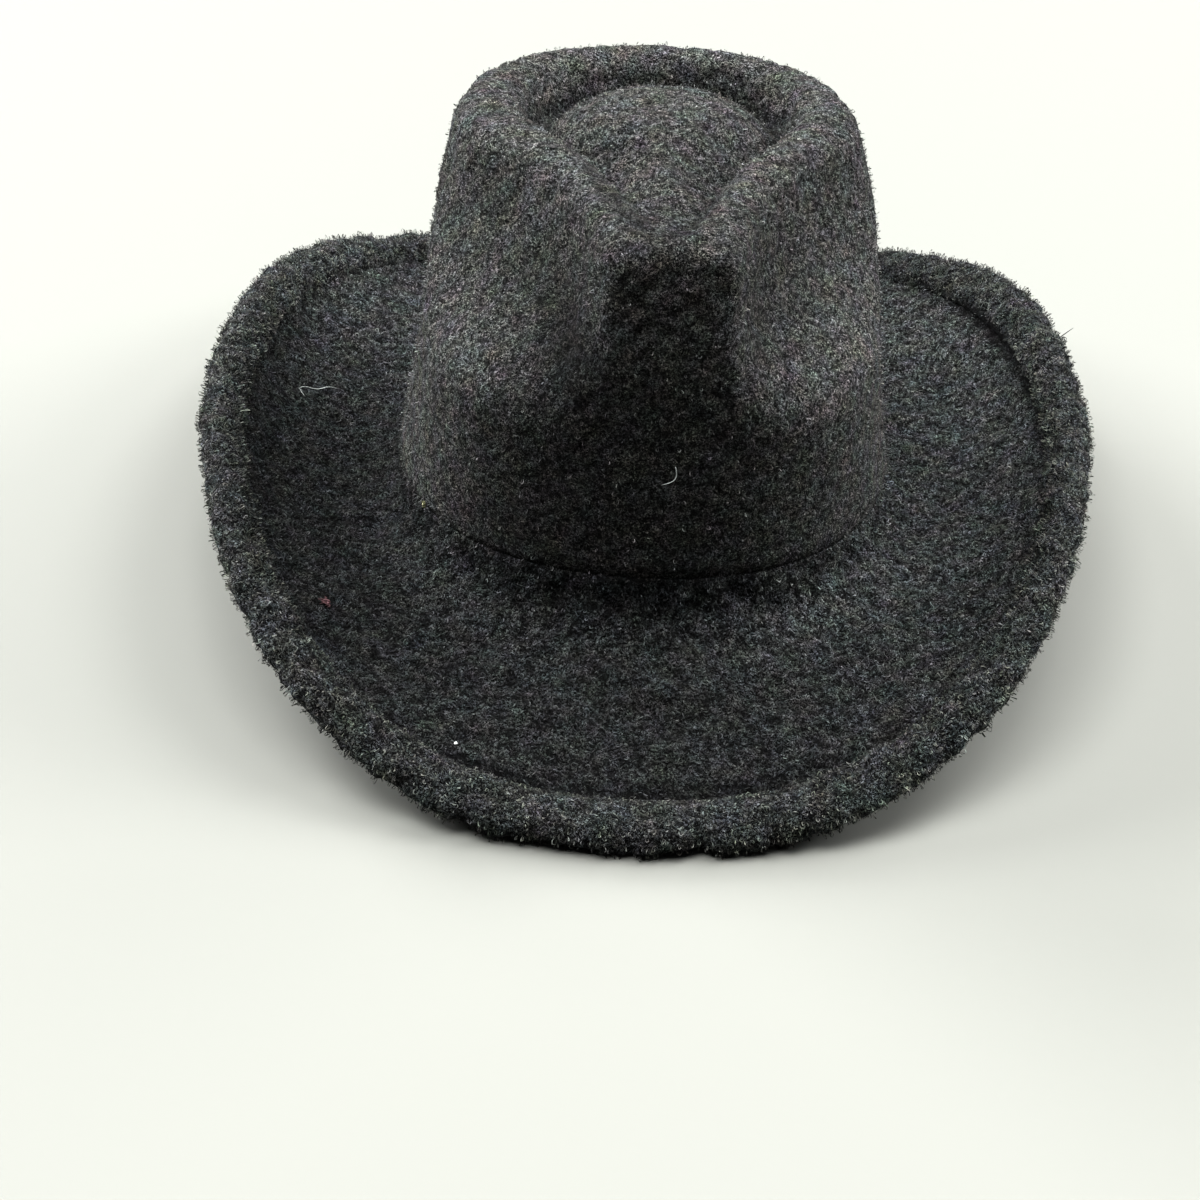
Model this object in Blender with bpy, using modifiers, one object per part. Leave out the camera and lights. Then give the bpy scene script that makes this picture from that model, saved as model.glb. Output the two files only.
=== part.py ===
"""Boucle wool western fedora: a pinched teardrop crown, a curled brim and a folded edge binding.

All sizes are millimetres in the hat's own frame and are scaled to metres when the vertices are
written. The front of the hat faces -Y. In the hat's frame z = 0 is the level at which the brim
leaves the crown; the whole hat is then tipped by REST_TILT_DEG so that the front and back of the
brim come to rest on the floor together, and it is moved so that its box stands on the origin.
"""
import math

import bpy
import numpy as np

MM = 0.001
GAP = 0.30
CROWN_WALL = 3.5
BRIM_WALL = 3.5
BINDING_WALL = 3.0

# Seam between the crown and the brim: a superoval that dips at the two sides.
SEAM_HALF_WIDTH = 84.5
SEAM_HALF_LENGTH = 99.5
SEAM_POWER = 2.17
SEAM_HEIGHT = 11.6
SEAM_WARP = 4.3

# Outline of the crown just under its top, before the dents are pressed in.
TOP_HALF_WIDTH = 72.0
TOP_HALF_LENGTH = 88.5
TOP_POWER = 2.9
TOP_FRONT_HEIGHT = 123.0
TOP_BACK_HEIGHT = 114.0
PINCH_TURN_DEG = 2.6
DOME_BELOW_TOP = -1.5
DOME_BACK_RISE = 7.5
DOME_TURN_DEG = 14.0
BOWL_SHIFT = 1.0
DOME_SHIFT = 1.5
WAIST = 2.6

# Places of the control points of a crown section, in mm or as shares.
FIRST_RISE = 8.0
FOOT_LEAD = 10.0
SHOULDER_ROOM = 1.5
QUARTER_SHARE = 0.22
EVEN_SCOOP = 0.5
CREST_SHARE = 0.45
CREST_RISE = 2.0
CREST_SHOULDER = 1.0
CREST_EASE = 0.5
GROOVE_INSET = 5.0
GROOVE_WALL_OUT = 3.5
GROOVE_SINK = 1.0

# Rings of the dome: share of the groove's radius, and place on the dome's fall.
DOME_RINGS = ((0.80, 0.86), (0.55, 0.55), (0.25, 0.25))

# Top of the crown, one row for each direction round it, counted from the front.
# inner: radius of the bowl's edge     outer: radius at which the wall starts
# drop: how far the shoulder is below the ridge
# foot: height at which the dent ends  scoop: share of the dent left at its middle
# groove: depth of the groove under the ridge    dome: power that rounds the dome's fall
CROWN_COLUMNS = ("angle", "inner", "outer", "drop", "foot", "scoop", "groove", "dome")
CROWN_ROWS = (
    (0, 72.0, 85.0, 5, 90, 0.50, 9, 1.6),
    (6, 64.0, 86.0, 5, 87, 0.50, 9, 1.6),
    (11, 55.5, 86.5, 5, 82, 0.40, 9, 1.7),
    (16, 48.0, 78.0, 7, 74, 0.18, 10, 1.8),
    (22, 42.0, 66.0, 9, 70, 0.14, 10, 1.9),
    (30, 37.0, 57.0, 10, 68, 0.16, 11, 2.0),
    (45, 32.0, 49.0, 10, 67, 0.24, 12, 2.2),
    (60, 30.0, 47.5, 10, 67, 0.34, 12, 2.4),
    (75, 31.0, 51.0, 10, 73, 0.44, 13, 2.6),
    (90, 34.5, 59.5, 10, 82, 0.52, 14, 2.8),
    (105, 42.0, 68.0, 10, 89, 0.58, 15, 3.0),
    (120, 53.0, 75.0, 10, 92, 0.60, 16, 3.2),
    (135, 63.0, 81.5, 10, 94, 0.60, 17, 3.5),
    (150, 68.5, 85.0, 10, 95, 0.60, 18, 3.8),
    (165, 70.0, 86.0, 10, 95, 0.60, 18, 4.0),
    (180, 70.0, 86.0, 10, 95, 0.60, 18, 4.0),
)

# Brim: arc lengths from the seam and slopes in degrees for the front, side and back.
COLLAR_LENGTH = 25.0
BRIM_LENGTH = 91.8
ROOT_SLOPE = {"front": -28.5, "side": -16.5, "back": -6.5}
EDGE_SLOPE = {"front": -12.4, "side": 84.5, "back": -15.0}
SIDE_POWER = {"front": 3.9, "back": 2.5}
DIP_ROUNDING = 0.15
LIFT_HEIGHT = 4.0
LIFT_AT_DEG = 128.0
LIFT_SPREAD_DEG = 34.0
BINDING_WIDTH = 15.5
FOLD_ROOM = 0.5

# Rest on the floor.
REST_TILT_DEG = 2.05
REST_FLAT = 0.6

# Facets round the crown and the brim, and along each section.
CROWN_STEPS = 50
BRIM_STEPS = 60
CROWN_RINGS = 26
BRIM_RINGS = 9
LEG_RINGS = 3
EDGE_RINGS = 6
ARC_SAMPLES = 400

# Small steps for finding directions on the brim: along it in mm, round it in radians.
STEP_ALONG = 0.01
STEP_ROUND = 0.001


def table(rows, columns):
    """The rows of a table as one array for each column name."""
    values = np.array(rows, dtype=float)
    return {name: values[:, index] for index, name in enumerate(columns)}


def smooth_lookup(x, xs, ys):
    """Monotone cubic through the rows (xs, ys), flat at both ends, at the places x."""
    h = np.diff(xs)
    slope = np.diff(ys) / h
    m = np.zeros_like(ys)
    both = slope[:-1] * slope[1:] > 0
    safe = np.where(both, slope[:-1] + slope[1:], 1.0)
    m[1:-1] = np.where(both, 2.0 * slope[:-1] * slope[1:] / safe, 0.0)
    i = np.clip(np.searchsorted(xs, x, side="right") - 1, 0, len(h) - 1)
    u = (x - xs[i]) / h[i]
    a = (1 + 2 * u) * (1 - u) ** 2 * ys[i] + u * (1 - u) ** 2 * h[i] * m[i]
    return a + u * u * (3 - 2 * u) * ys[i + 1] + u * u * (u - 1) * h[i] * m[i + 1]


def spread(start, end, count):
    """Angles or lengths from start to end in equal steps."""
    return np.linspace(start, end, count + 1)


def superoval(t, half_width, half_length, power):
    """Radius of |x/half_width|^power + |y/half_length|^power = 1 in the direction t."""
    across = np.abs(np.sin(t) / half_width) ** power
    along = np.abs(np.cos(t) / half_length) ** power
    return (across + along) ** (-1.0 / power)


def seam_height(t):
    """Height of the seam: high at the front and back, low at the sides."""
    return SEAM_HEIGHT + SEAM_WARP * np.cos(2 * t)


def place(t, r, z):
    """Points (m, k, 3) from directions t (m) and radii and heights (m, k)."""
    return np.stack([r * np.sin(t)[:, None], -r * np.cos(t)[:, None], z], axis=-1)


def crown_controls(t):
    """Control points (m, k) of the crown's sections, from the seam up, over and into the dome."""
    rows = table(CROWN_ROWS, CROWN_COLUMNS)
    turned = t - math.radians(PINCH_TURN_DEG)
    angle = np.degrees(np.abs(np.mod(turned + math.pi, 2 * math.pi) - math.pi))
    col = {k: smooth_lookup(angle, rows["angle"], v) for k, v in rows.items() if k != "angle"}
    col["inner"] = col["inner"] + BOWL_SHIFT * np.sin(t)
    low = seam_height(t) + GAP / 2
    base = superoval(t, SEAM_HALF_WIDTH, SEAM_HALF_LENGTH, SEAM_POWER)
    body = superoval(t, TOP_HALF_WIDTH, TOP_HALF_LENGTH, TOP_POWER)
    crest = col["inner"] + CREST_SHARE * (col["outer"] - col["inner"])
    share = 0.5 + 0.5 * np.cos(t) * crest / TOP_HALF_LENGTH
    top = TOP_BACK_HEIGHT + (TOP_FRONT_HEIGHT - TOP_BACK_HEIGHT) * share
    shoulder = top - col["drop"]

    def wall(z):
        v = (z - low) / (shoulder - low)
        return base + (body - base) * v - WAIST * np.sin(t) ** 2 * (4 * v * (1 - v)) ** 2

    foot_r = wall(col["foot"])
    edge_r = np.minimum(col["outer"] + SHOULDER_ROOM, wall(shoulder))
    middle_z = 0.5 * (col["foot"] + shoulder)
    middle_r = edge_r + col["scoop"] * (foot_r - edge_r)
    quarter_z = col["foot"] + QUARTER_SHARE * (shoulder - col["foot"])
    quarter_r = middle_r + 0.5 * (1.0 + EVEN_SCOOP - col["scoop"]) * (foot_r - middle_r)
    groove_r = col["inner"] - GROOVE_INSET + DOME_SHIFT * np.sin(t)
    groove_z = top - col["groove"]
    apex = 0.5 * (TOP_FRONT_HEIGHT + TOP_BACK_HEIGHT) - DOME_BELOW_TOP

    def dome(u):
        fall = (groove_z - apex) * u ** col["dome"]
        rise = DOME_BACK_RISE * np.cos(t + math.radians(DOME_TURN_DEG))
        return apex + fall - rise * u * (1 - u ** 4)

    first = low + FIRST_RISE
    half = 0.5 * (low + col["foot"])
    lead = col["foot"] - FOOT_LEAD
    points = (
        (base, low),
        (wall(first), first),
        (wall(half), half),
        (wall(lead), lead),
        (foot_r, col["foot"]),
        (quarter_r, quarter_z),
        (middle_r, middle_z),
        (edge_r, shoulder),
        (col["outer"] - CREST_EASE, top - CREST_SHOULDER),
        (crest, top + CREST_RISE),
        (col["inner"] + CREST_EASE, top - CREST_SHOULDER),
        (groove_r + GROOVE_WALL_OUT, 0.5 * (top + groove_z)),
        (groove_r, groove_z - GROOVE_SINK),
    ) + tuple((share * groove_r, dome(u)) for share, u in DOME_RINGS) + (
        (0.0 * base, apex + 0.0 * base),
    )
    r = np.stack([p[0] for p in points], axis=1)
    z = np.stack([p[1] for p in points], axis=1)
    return r, z


def spline(values, w):
    """Clamped cubic B-spline along axis 1 of values (m, k), at the parameters w in 0..1."""
    first = values[:, :1]
    last = values[:, -1:]
    padded = np.concatenate([2 * first - values[:, 1:2], values, 2 * last - values[:, -2:-1]], axis=1)
    spans = values.shape[1] - 1
    x = np.clip(w, 0.0, 1.0) * spans
    i = np.minimum(x.astype(int), spans - 1)
    u = x - i
    weights = ((1 - u) ** 3, 3 * u ** 3 - 6 * u ** 2 + 4, -3 * u ** 3 + 3 * u ** 2 + 3 * u + 1, u ** 3)
    return sum(padded[:, i + k] * weight for k, weight in enumerate(weights)) / 6.0


def crown_surface(t, w):
    """Outer face of the crown (m, k, 3): sections in the directions t, from seam to dome centre."""
    r, z = crown_controls(t)
    r = spline(r, w)
    z = spline(z, w)
    return place(t, r, z)


def brim_slopes(t):
    """Slope (radians) of the brim at its root and at its edge in the directions t."""
    near = np.abs(np.mod(t + math.pi / 2, math.pi) - math.pi / 2)
    eased = np.sqrt(near ** 2 + DIP_ROUNDING ** 2) - DIP_ROUNDING
    full = math.sqrt((math.pi / 2) ** 2 + DIP_ROUNDING ** 2) - DIP_ROUNDING
    eased = eased * (math.pi / 2) / full
    end = np.where(np.cos(t) > 0, 1.0, 0.0)
    dip = np.abs(np.cos(eased)) ** (end * SIDE_POWER["front"] + (1 - end) * SIDE_POWER["back"])

    def mix(slope):
        ends = end * slope["front"] + (1 - end) * slope["back"]
        return np.radians(slope["side"] * (1 - dip) + ends * dip)

    return mix(ROOT_SLOPE), mix(EDGE_SLOPE)


def brim_surface(t, s):
    """Upper face of the brim (m, k, 3) at the arc lengths s from the seam."""
    arc = spread(0.0, BRIM_LENGTH, ARC_SAMPLES)
    root, edge = brim_slopes(t)
    turn = np.clip(arc / COLLAR_LENGTH, 0, 1)
    turn = turn * turn * (3 - 2 * turn)
    start = 0.5 * COLLAR_LENGTH
    run = np.clip((arc - start) / (BRIM_LENGTH - start), 0, 1)
    lie = root[:, None] + (edge - root)[:, None] * run
    slope = -math.pi / 2 + (lie + math.pi / 2) * turn
    step = arc[1] - arc[0]

    def along(f):
        mean = 0.5 * (f[:, 1:] + f[:, :-1]) * step
        total = np.concatenate([np.zeros((len(t), 1)), np.cumsum(mean, axis=1)], axis=1)
        i = np.clip(np.searchsorted(arc, s, side="right") - 1, 0, ARC_SAMPLES - 1)
        u = (s - arc[i]) / step
        return total[:, i] * (1 - u) + total[:, i + 1] * u

    base = superoval(t, SEAM_HALF_WIDTH, SEAM_HALF_LENGTH, SEAM_POWER)
    r = base[:, None] + along(np.cos(slope))
    z = (seam_height(t) - GAP / 2)[:, None] + along(np.sin(slope))
    return place(t, r, z + brim_lift(t)[:, None] * (s / BRIM_LENGTH) ** 2)


def brim_lift(t):
    """Extra height of the brim's edge, where it curls higher on one side of the back."""
    off = np.mod(t - math.radians(LIFT_AT_DEG) + math.pi, 2 * math.pi) - math.pi
    return LIFT_HEIGHT * np.exp(-(off / math.radians(LIFT_SPREAD_DEG)) ** 2)


def unit(v):
    """The vectors v at length one."""
    return v / np.linalg.norm(v, axis=-1, keepdims=True)


def brim_frame(t, s):
    """Points of the brim's upper face with its normals and its outward directions."""
    here = brim_surface(t, s)
    outward = unit(brim_surface(t, s + STEP_ALONG) - brim_surface(t, s - STEP_ALONG))
    around = unit(brim_surface(t + STEP_ROUND, s) - brim_surface(t - STEP_ROUND, s))
    normal = unit(np.cross(outward, around))
    normal = normal * np.sign(normal[..., 2:] + 1e-9)
    across = unit(outward - around * np.sum(outward * around, axis=-1, keepdims=True))
    return here, normal, across


def rim_length():
    """Arc length of the middle of the binding's fold, just past the end of the brim's own cloth."""
    return BRIM_LENGTH - BINDING_WALL - GAP - 0.5 * BRIM_WALL


def leg_stations():
    """Arc lengths of the binding's rings over the brim, from its inner edge to its fold."""
    return spread(BRIM_LENGTH - BINDING_WIDTH, rim_length(), LEG_RINGS)


def brim_stations():
    """Arc lengths of the brim's rings; those under the binding share its stations."""
    legs = leg_stations()
    legs[-1] -= FOLD_ROOM
    return np.concatenate([spread(0.0, legs[0], BRIM_RINGS)[:-1], legs])


def binding_surface(t):
    """Outer face of the binding (m, k, 3): in over the brim, round its edge and back under it."""
    lift = GAP + BINDING_WALL
    radius = 0.5 * BRIM_WALL + lift
    s = leg_stations()
    here, normal, across = brim_frame(t, s)
    upper = here + normal * lift
    lower = here[:, ::-1] - normal[:, ::-1] * (BRIM_WALL + lift)
    turn = spread(0.0, math.pi, EDGE_RINGS)[1:-1][None, :, None]
    middle = here[:, -1:] - normal[:, -1:] * 0.5 * BRIM_WALL
    bend = middle + radius * (normal[:, -1:] * np.cos(turn) + across[:, -1:] * np.sin(turn))
    return np.concatenate([upper, bend, lower], axis=1)


def rest(points):
    """Tip the hat so that the front and back of the brim rest together."""
    tilt = math.radians(REST_TILT_DEG)
    x, y, z = points[..., 0], points[..., 1], points[..., 2]
    return np.stack([x, y * math.cos(tilt) + z * math.sin(tilt),
                     z * math.cos(tilt) - y * math.sin(tilt)], axis=-1)


def rest_offset():
    """Move that puts the middle of the hat's box over the origin and its foot on the floor."""
    points = rest(binding_surface(spread(0.0, math.pi, 2 * BRIM_STEPS)))
    y = 0.5 * (points[..., 1].min() + points[..., 1].max())
    return np.array([0.0, -y, -points[..., 2].min() - REST_FLAT])


def clear_scene():
    """Remove every object, mesh and material that is already there."""
    for item in list(bpy.data.objects):
        bpy.data.objects.remove(item, do_unlink=True)
    for group in (bpy.data.meshes, bpy.data.materials):
        for item in list(group):
            group.remove(item)


def new_collection(name):
    """A collection in the scene with this name."""
    group = bpy.data.collections.new(name)
    bpy.context.scene.collection.children.link(group)
    return group


def cloth_material(name, colour, roughness):
    """Plain matt material of one cloth."""
    material = bpy.data.materials.new(name)
    material.use_nodes = True
    shader = material.node_tree.nodes["Principled BSDF"]
    shader.inputs["Base Color"].default_value = (*colour, 1.0)
    shader.inputs["Roughness"].default_value = roughness
    material.diffuse_color = (*colour, 1.0)
    return material


def grid_object(name, points, offset, group, material, dome=False):
    """An open shell right round the hat from a grid of points (m, k, 3), faces turned outward.

    A dome closes at the middle of its last ring.
    """
    points = (rest(points) + offset) * MM
    m, k = points.shape[:2]
    index = np.arange(m * k).reshape(m, k)
    index = np.concatenate([index, index[:1]], axis=0)
    if dome:
        index[:, -1] = index[0, -1]
    quads = np.stack([index[:-1, :-1], index[1:, :-1], index[1:, 1:], index[:-1, 1:]], axis=-1)
    faces = [tuple(dict.fromkeys(face)) for face in quads.reshape(-1, 4).tolist()]
    mesh = bpy.data.meshes.new(name)
    mesh.from_pydata(points.reshape(-1, 3).tolist(), [], faces)
    if dome:
        drop_loose(mesh)
    mesh.polygons.foreach_set("use_smooth", [True] * len(mesh.polygons))
    mesh.materials.append(material)
    item = bpy.data.objects.new(name, mesh)
    group.objects.link(item)
    return item


def drop_loose(mesh):
    """Leave out the points that no face uses."""
    used = sorted({v for face in mesh.polygons for v in face.vertices})
    order = {old: new for new, old in enumerate(used)}
    points = [tuple(mesh.vertices[v].co) for v in used]
    faces = [tuple(order[v] for v in face.vertices) for face in mesh.polygons]
    mesh.clear_geometry()
    mesh.from_pydata(points, [], faces)


def add_wall(item, wall):
    """Cloth thickness, grown inward from the shell."""
    solid = item.modifiers.new("cloth_wall", "SOLIDIFY")
    solid.thickness = wall * MM
    solid.offset = -1.0
    solid.use_even_offset = True
    solid.use_quality_normals = True


def add_floor_cut(item, cutter):
    """Flatten the piece where it stands on the floor."""
    cut = item.modifiers.new("flat_rest", "BOOLEAN")
    cut.operation = "DIFFERENCE"
    cut.solver = "EXACT"
    cut.object = cutter


def floor_cutter(group, size):
    """Block whose top is the floor."""
    half = 0.5 * size
    corners = [(x * half, y * half, z) for z in (-size * 0.1, 0.0) for y in (-1, 1) for x in (-1, 1)]
    faces = [(0, 2, 3, 1), (4, 5, 7, 6), (0, 1, 5, 4), (2, 6, 7, 3), (0, 4, 6, 2), (1, 3, 7, 5)]
    mesh = bpy.data.meshes.new("floor_block")
    mesh.from_pydata(corners, [], faces)
    item = bpy.data.objects.new("floor_block", mesh)
    item.hide_render = True
    item.display_type = "WIRE"
    group.objects.link(item)
    return item


def main():
    """Build the three cloth pieces of the hat."""
    clear_scene()
    group = new_collection("boucle_fedora")
    cutters = new_collection("cutters")
    offset = rest_offset()
    black = (0.012, 0.012, 0.014)

    crown_t = spread(0.0, 2 * math.pi, CROWN_STEPS)[:-1]
    crown = grid_object("crown", crown_surface(crown_t, spread(0.0, 1.0, CROWN_RINGS)), offset, group,
                        cloth_material("crown_boucle", black, 0.95), dome=True)
    add_wall(crown, CROWN_WALL)

    brim_t = spread(0.0, 2 * math.pi, BRIM_STEPS)[:-1]
    brim = grid_object("brim", brim_surface(brim_t, brim_stations())[:, ::-1], offset, group,
                       cloth_material("brim_boucle", black, 0.95))
    add_wall(brim, BRIM_WALL)

    binding = grid_object("edge_binding", binding_surface(brim_t)[:, ::-1], offset, group,
                          cloth_material("binding_boucle", black, 0.95))
    add_wall(binding, BINDING_WALL)
    add_floor_cut(binding, floor_cutter(cutters, 0.6))


main()
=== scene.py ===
"""Looks of a western hat in black boucle wool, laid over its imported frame.

The hat is three pieces of cloth: the crown, the brim and the binding folded over the brim's edge.
Each is drawn here as a closed shell of cloth whose outer face swells into tufts, and carries its
pile as thousands of small curled ribbons. All shapes are worked out in millimetres in the hat's
own frame, with the same formulas as the frame's solids, then tipped and moved to where the hat
rests, and written in metres.
"""

import math

import bpy
import numpy as np
from mathutils import Matrix


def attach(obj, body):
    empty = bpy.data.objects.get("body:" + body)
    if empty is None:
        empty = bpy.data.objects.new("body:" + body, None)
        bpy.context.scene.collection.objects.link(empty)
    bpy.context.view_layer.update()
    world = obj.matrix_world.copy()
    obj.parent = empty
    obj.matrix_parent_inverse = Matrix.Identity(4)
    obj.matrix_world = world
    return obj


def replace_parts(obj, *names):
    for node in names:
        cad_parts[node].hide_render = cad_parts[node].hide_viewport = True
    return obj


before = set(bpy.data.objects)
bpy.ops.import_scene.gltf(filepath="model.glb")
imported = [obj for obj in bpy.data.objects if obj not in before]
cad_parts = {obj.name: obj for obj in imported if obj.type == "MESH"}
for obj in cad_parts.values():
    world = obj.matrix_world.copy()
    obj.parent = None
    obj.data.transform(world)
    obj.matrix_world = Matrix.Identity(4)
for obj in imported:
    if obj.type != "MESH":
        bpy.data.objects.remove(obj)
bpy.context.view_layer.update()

bl_info = {
    "name": "Boucle Western Hat",
    "version": (1, 0, 0),
    "blender": (4, 5, 0),
    "location": "3D View > Sidebar > Hat",
    "description": "Cloth, curled pile and stage of a pinched western hat",
    "category": "Add Mesh",
}

MM = 0.001
GAP = 0.30
CROWN_WALL = 3.5
BRIM_WALL = 3.5
BINDING_WALL = 3.0

# Seam between the crown and the brim.
SEAM_HALF_WIDTH = 84.5
SEAM_HALF_LENGTH = 99.5
SEAM_POWER = 2.17
SEAM_HEIGHT = 11.6
SEAM_WARP = 4.3

# Crown just under its top, before the dents are pressed in.
TOP_HALF_WIDTH = 72.0
TOP_HALF_LENGTH = 88.5
TOP_POWER = 2.9
TOP_FRONT_HEIGHT = 123.0
TOP_BACK_HEIGHT = 114.0
PINCH_TURN_DEG = 2.6
DOME_BELOW_TOP = -1.5
DOME_BACK_RISE = 7.5
DOME_TURN_DEG = 14.0
BOWL_SHIFT = 1.0
DOME_SHIFT = 1.5
WAIST = 2.6

# Places of the control points of a crown section, in mm or as shares.
FIRST_RISE = 8.0
FOOT_LEAD = 10.0
SHOULDER_ROOM = 1.5
QUARTER_SHARE = 0.22
EVEN_SCOOP = 0.5
CREST_SHARE = 0.45
CREST_RISE = 2.0
CREST_SHOULDER = 1.0
CREST_EASE = 0.5
GROOVE_INSET = 5.0
GROOVE_WALL_OUT = 3.5
GROOVE_SINK = 1.0

# Rings of the dome: share of the groove's radius, and place on the dome's fall.
DOME_RINGS = ((0.80, 0.86), (0.55, 0.55), (0.25, 0.25))

# Top of the crown, one row for each direction round it, counted in degrees from the front.
CROWN_COLUMNS = ("angle", "inner", "outer", "drop", "foot", "scoop", "groove", "dome")
CROWN_ROWS = (
    (0, 72.0, 85.0, 5, 90, 0.50, 9, 1.6),
    (6, 64.0, 86.0, 5, 87, 0.50, 9, 1.6),
    (11, 55.5, 86.5, 5, 82, 0.40, 9, 1.7),
    (16, 48.0, 78.0, 7, 74, 0.18, 10, 1.8),
    (22, 42.0, 66.0, 9, 70, 0.14, 10, 1.9),
    (30, 37.0, 57.0, 10, 68, 0.16, 11, 2.0),
    (45, 32.0, 49.0, 10, 67, 0.24, 12, 2.2),
    (60, 30.0, 47.5, 10, 67, 0.34, 12, 2.4),
    (75, 31.0, 51.0, 10, 73, 0.44, 13, 2.6),
    (90, 34.5, 59.5, 10, 82, 0.52, 14, 2.8),
    (105, 42.0, 68.0, 10, 89, 0.58, 15, 3.0),
    (120, 53.0, 75.0, 10, 92, 0.60, 16, 3.2),
    (135, 63.0, 81.5, 10, 94, 0.60, 17, 3.5),
    (150, 68.5, 85.0, 10, 95, 0.60, 18, 3.8),
    (165, 70.0, 86.0, 10, 95, 0.60, 18, 4.0),
    (180, 70.0, 86.0, 10, 95, 0.60, 18, 4.0),
)

# Brim: arc lengths from the seam, and slopes in degrees.
COLLAR_LENGTH = 25.0
BRIM_LENGTH = 91.8
ROOT_SLOPE = {"front": -28.5, "side": -16.5, "back": -6.5}
EDGE_SLOPE = {"front": -12.4, "side": 84.5, "back": -15.0}
SIDE_POWER = {"front": 3.9, "back": 2.5}
DIP_ROUNDING = 0.15
LIFT_HEIGHT = 4.0
LIFT_AT_DEG = 128.0
LIFT_SPREAD_DEG = 34.0
BINDING_WIDTH = 15.5
FOLD_ROOM = 0.5

REST_TILT_DEG = 2.05
REST_FLAT = 0.6

# Places on the hat's grids. The binding's inner face keeps one ring in BINDING_INNER_STEP.
CROWN_TURNS = 316
CROWN_RINGS = 132
CROWN_BACK_RINGS = 30
BRIM_TURNS = 430
BRIM_RINGS = 46
BRIM_UNDER_RINGS = 24
BINDING_TURNS = 620
BINDING_LEG_RINGS = 9
BINDING_EDGE_RINGS = 6
BINDING_INNER_STEP = 3
ARC_SAMPLES = 400
SURVEY = 720

# Places on the binding that find where the hat rests: directions, and rings of a leg and the edge.
REST_SURVEY = (121, 3, 6)

# Rings of the brim's cloth past the hem, under the binding, and places where its turns are measured.
HEM_TUCK = 2.0
HEM_UNDER = 7.0
BRIM_SURVEY = (0.0, 45.0, 76.0)
RIM_SURVEY = (BRIM_LENGTH - 5.0,)

# Tufts of each cloth: the seed of their random centres, the share of their height at which they
# stand level with the smooth face, and soft bumps on them, each with its size in mm, its seed and
# its height as a share of the tufts'.
TUFTS = {
    "crown": (11, 0.50, ((1.9, 21, 0.35),)),
    "brim": (31, 0.45, ((2.2, 41, 0.35), (9.0, 43, 0.80))),
    "binding": (51, 0.35, ((3.0, 61, 0.65),)),
}
TUFT_REACH = 0.95
LATTICE_SHIFT = 1000.0
FLOOR_ROOM = 0.05

# The crown's tufts are lower near the brim: their least share, what they gain, the height where
# the gain starts and the height over which it grows.
SHAG = (0.50, 0.65, 65.0, 45.0)

# Seam: half-widths of its groove and of the stretch where both cloths meet level, the depth there,
# how far the groove sinks each cloth, and its least and front depths as shares of the full groove.
SEAM_BELL = 2.2
MEET_BELL = 2.0
SEAM_SINK = 1.4
CROWN_SINK = 1.3
BRIM_SINK = 1.4
SEAM_LEAST = 0.02
SEAM_FRONT = 0.34
SEAM_FRONT_POWER = 5
# Share of the seam's groove left bare of curls; the same share darkens the ground there as painted shade.
SEAM_BARE = 0.9

# Hem: the groove beside it, with its strength, middle and half-width, how unevenly it is pressed
# in (least share, gain, size in mm and seed), where the binding covers the brim, and how far the
# binding's own edge rolls down, in all and where the hem is shallow.
HEM_GROOVE = (1.6, 1.2, 2.7)
HEM_UNEVEN = (0.6, 0.7, 6.0, 45)
HEM_COVER = 1.0
ROLL_BELL = 2.4
ROLL_SINK = (2.0, 0.9)

# How deep and bare the hem of the binding is, by direction in degrees from the front to the right.
HEM_COLUMNS = ("angle", "depth")
HEM_ROWS = (
    (0, 0.42),
    (20, 0.38),
    (42, 0.34),
    (54, 1.00),
    (122, 1.00),
    (133, 0.20),
    (185, 0.10),
    (225, 0.05),
    (290, 0.05),
    (330, 0.25),
    (360, 0.42),
)

# Share of the curls that still grow in the hem's groove, and how much painted shade darkens the groove.
HEM_PILE = 0.3
HEM_SHADE = 0.6

# Painted light and shade by direction in degrees from the front to the right: the pile is painted paler at
# the sides and darker in front and at the back, as light and shade fall on the hat. seam is the painted
# light that the brim gains beside the seam. The crown's own share fades out up its wall, between the two
# heights of its fade, lower at the back.
PAINTED_LIGHT_COLUMNS = ("angle", "brim", "seam", "crown", "binding")
PAINTED_LIGHT_ROWS = (
    (0, 0.33, 0.55, 0.70, 0.72),
    (30, 0.60, 0.90, 0.94, 0.86),
    (55, 1.02, 0.85, 1.24, 0.86),
    (90, 1.20, 0.50, 1.42, 0.88),
    (120, 1.30, 0.40, 0.90, 0.74),
    (150, 0.66, 0.30, 0.54, 0.54),
    (180, 0.40, 0.30, 0.44, 0.42),
    (205, 0.55, 0.20, 0.50, 0.50),
    (228, 1.05, 0.10, 0.72, 1.12),
    (245, 0.94, 0.10, 0.98, 1.06),
    (270, 0.66, -0.05, 1.22, 0.94),
    (300, 0.50, 0.30, 1.18, 0.72),
    (320, 0.48, 0.65, 1.04, 0.84),
    (335, 0.42, 0.60, 0.60, 0.76),
    (347, 0.37, 0.55, 0.54, 0.74),
    (360, 0.33, 0.55, 0.70, 0.72),
)
PAINTED_LIGHT_FADE = (98.0, 144.0)
PAINTED_LIGHT_FADE_BACK = 16.0
PAINTED_LIGHT_BACK_OVER = 50.0
SEAM_LIGHT_SPREAD = 16.0

# Painted light: how much paler the binding is painted where its fold stands upright, and the wall behind
# the dome, which lies over a height and is painted paler over a length.
UPRIGHT_FOLD_PAINTED_LIGHT = 1.8
BOWL_PAINTED_LIGHT = 1.3
BOWL_HEIGHT = 128.0
BOWL_OVER = 20.0

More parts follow.
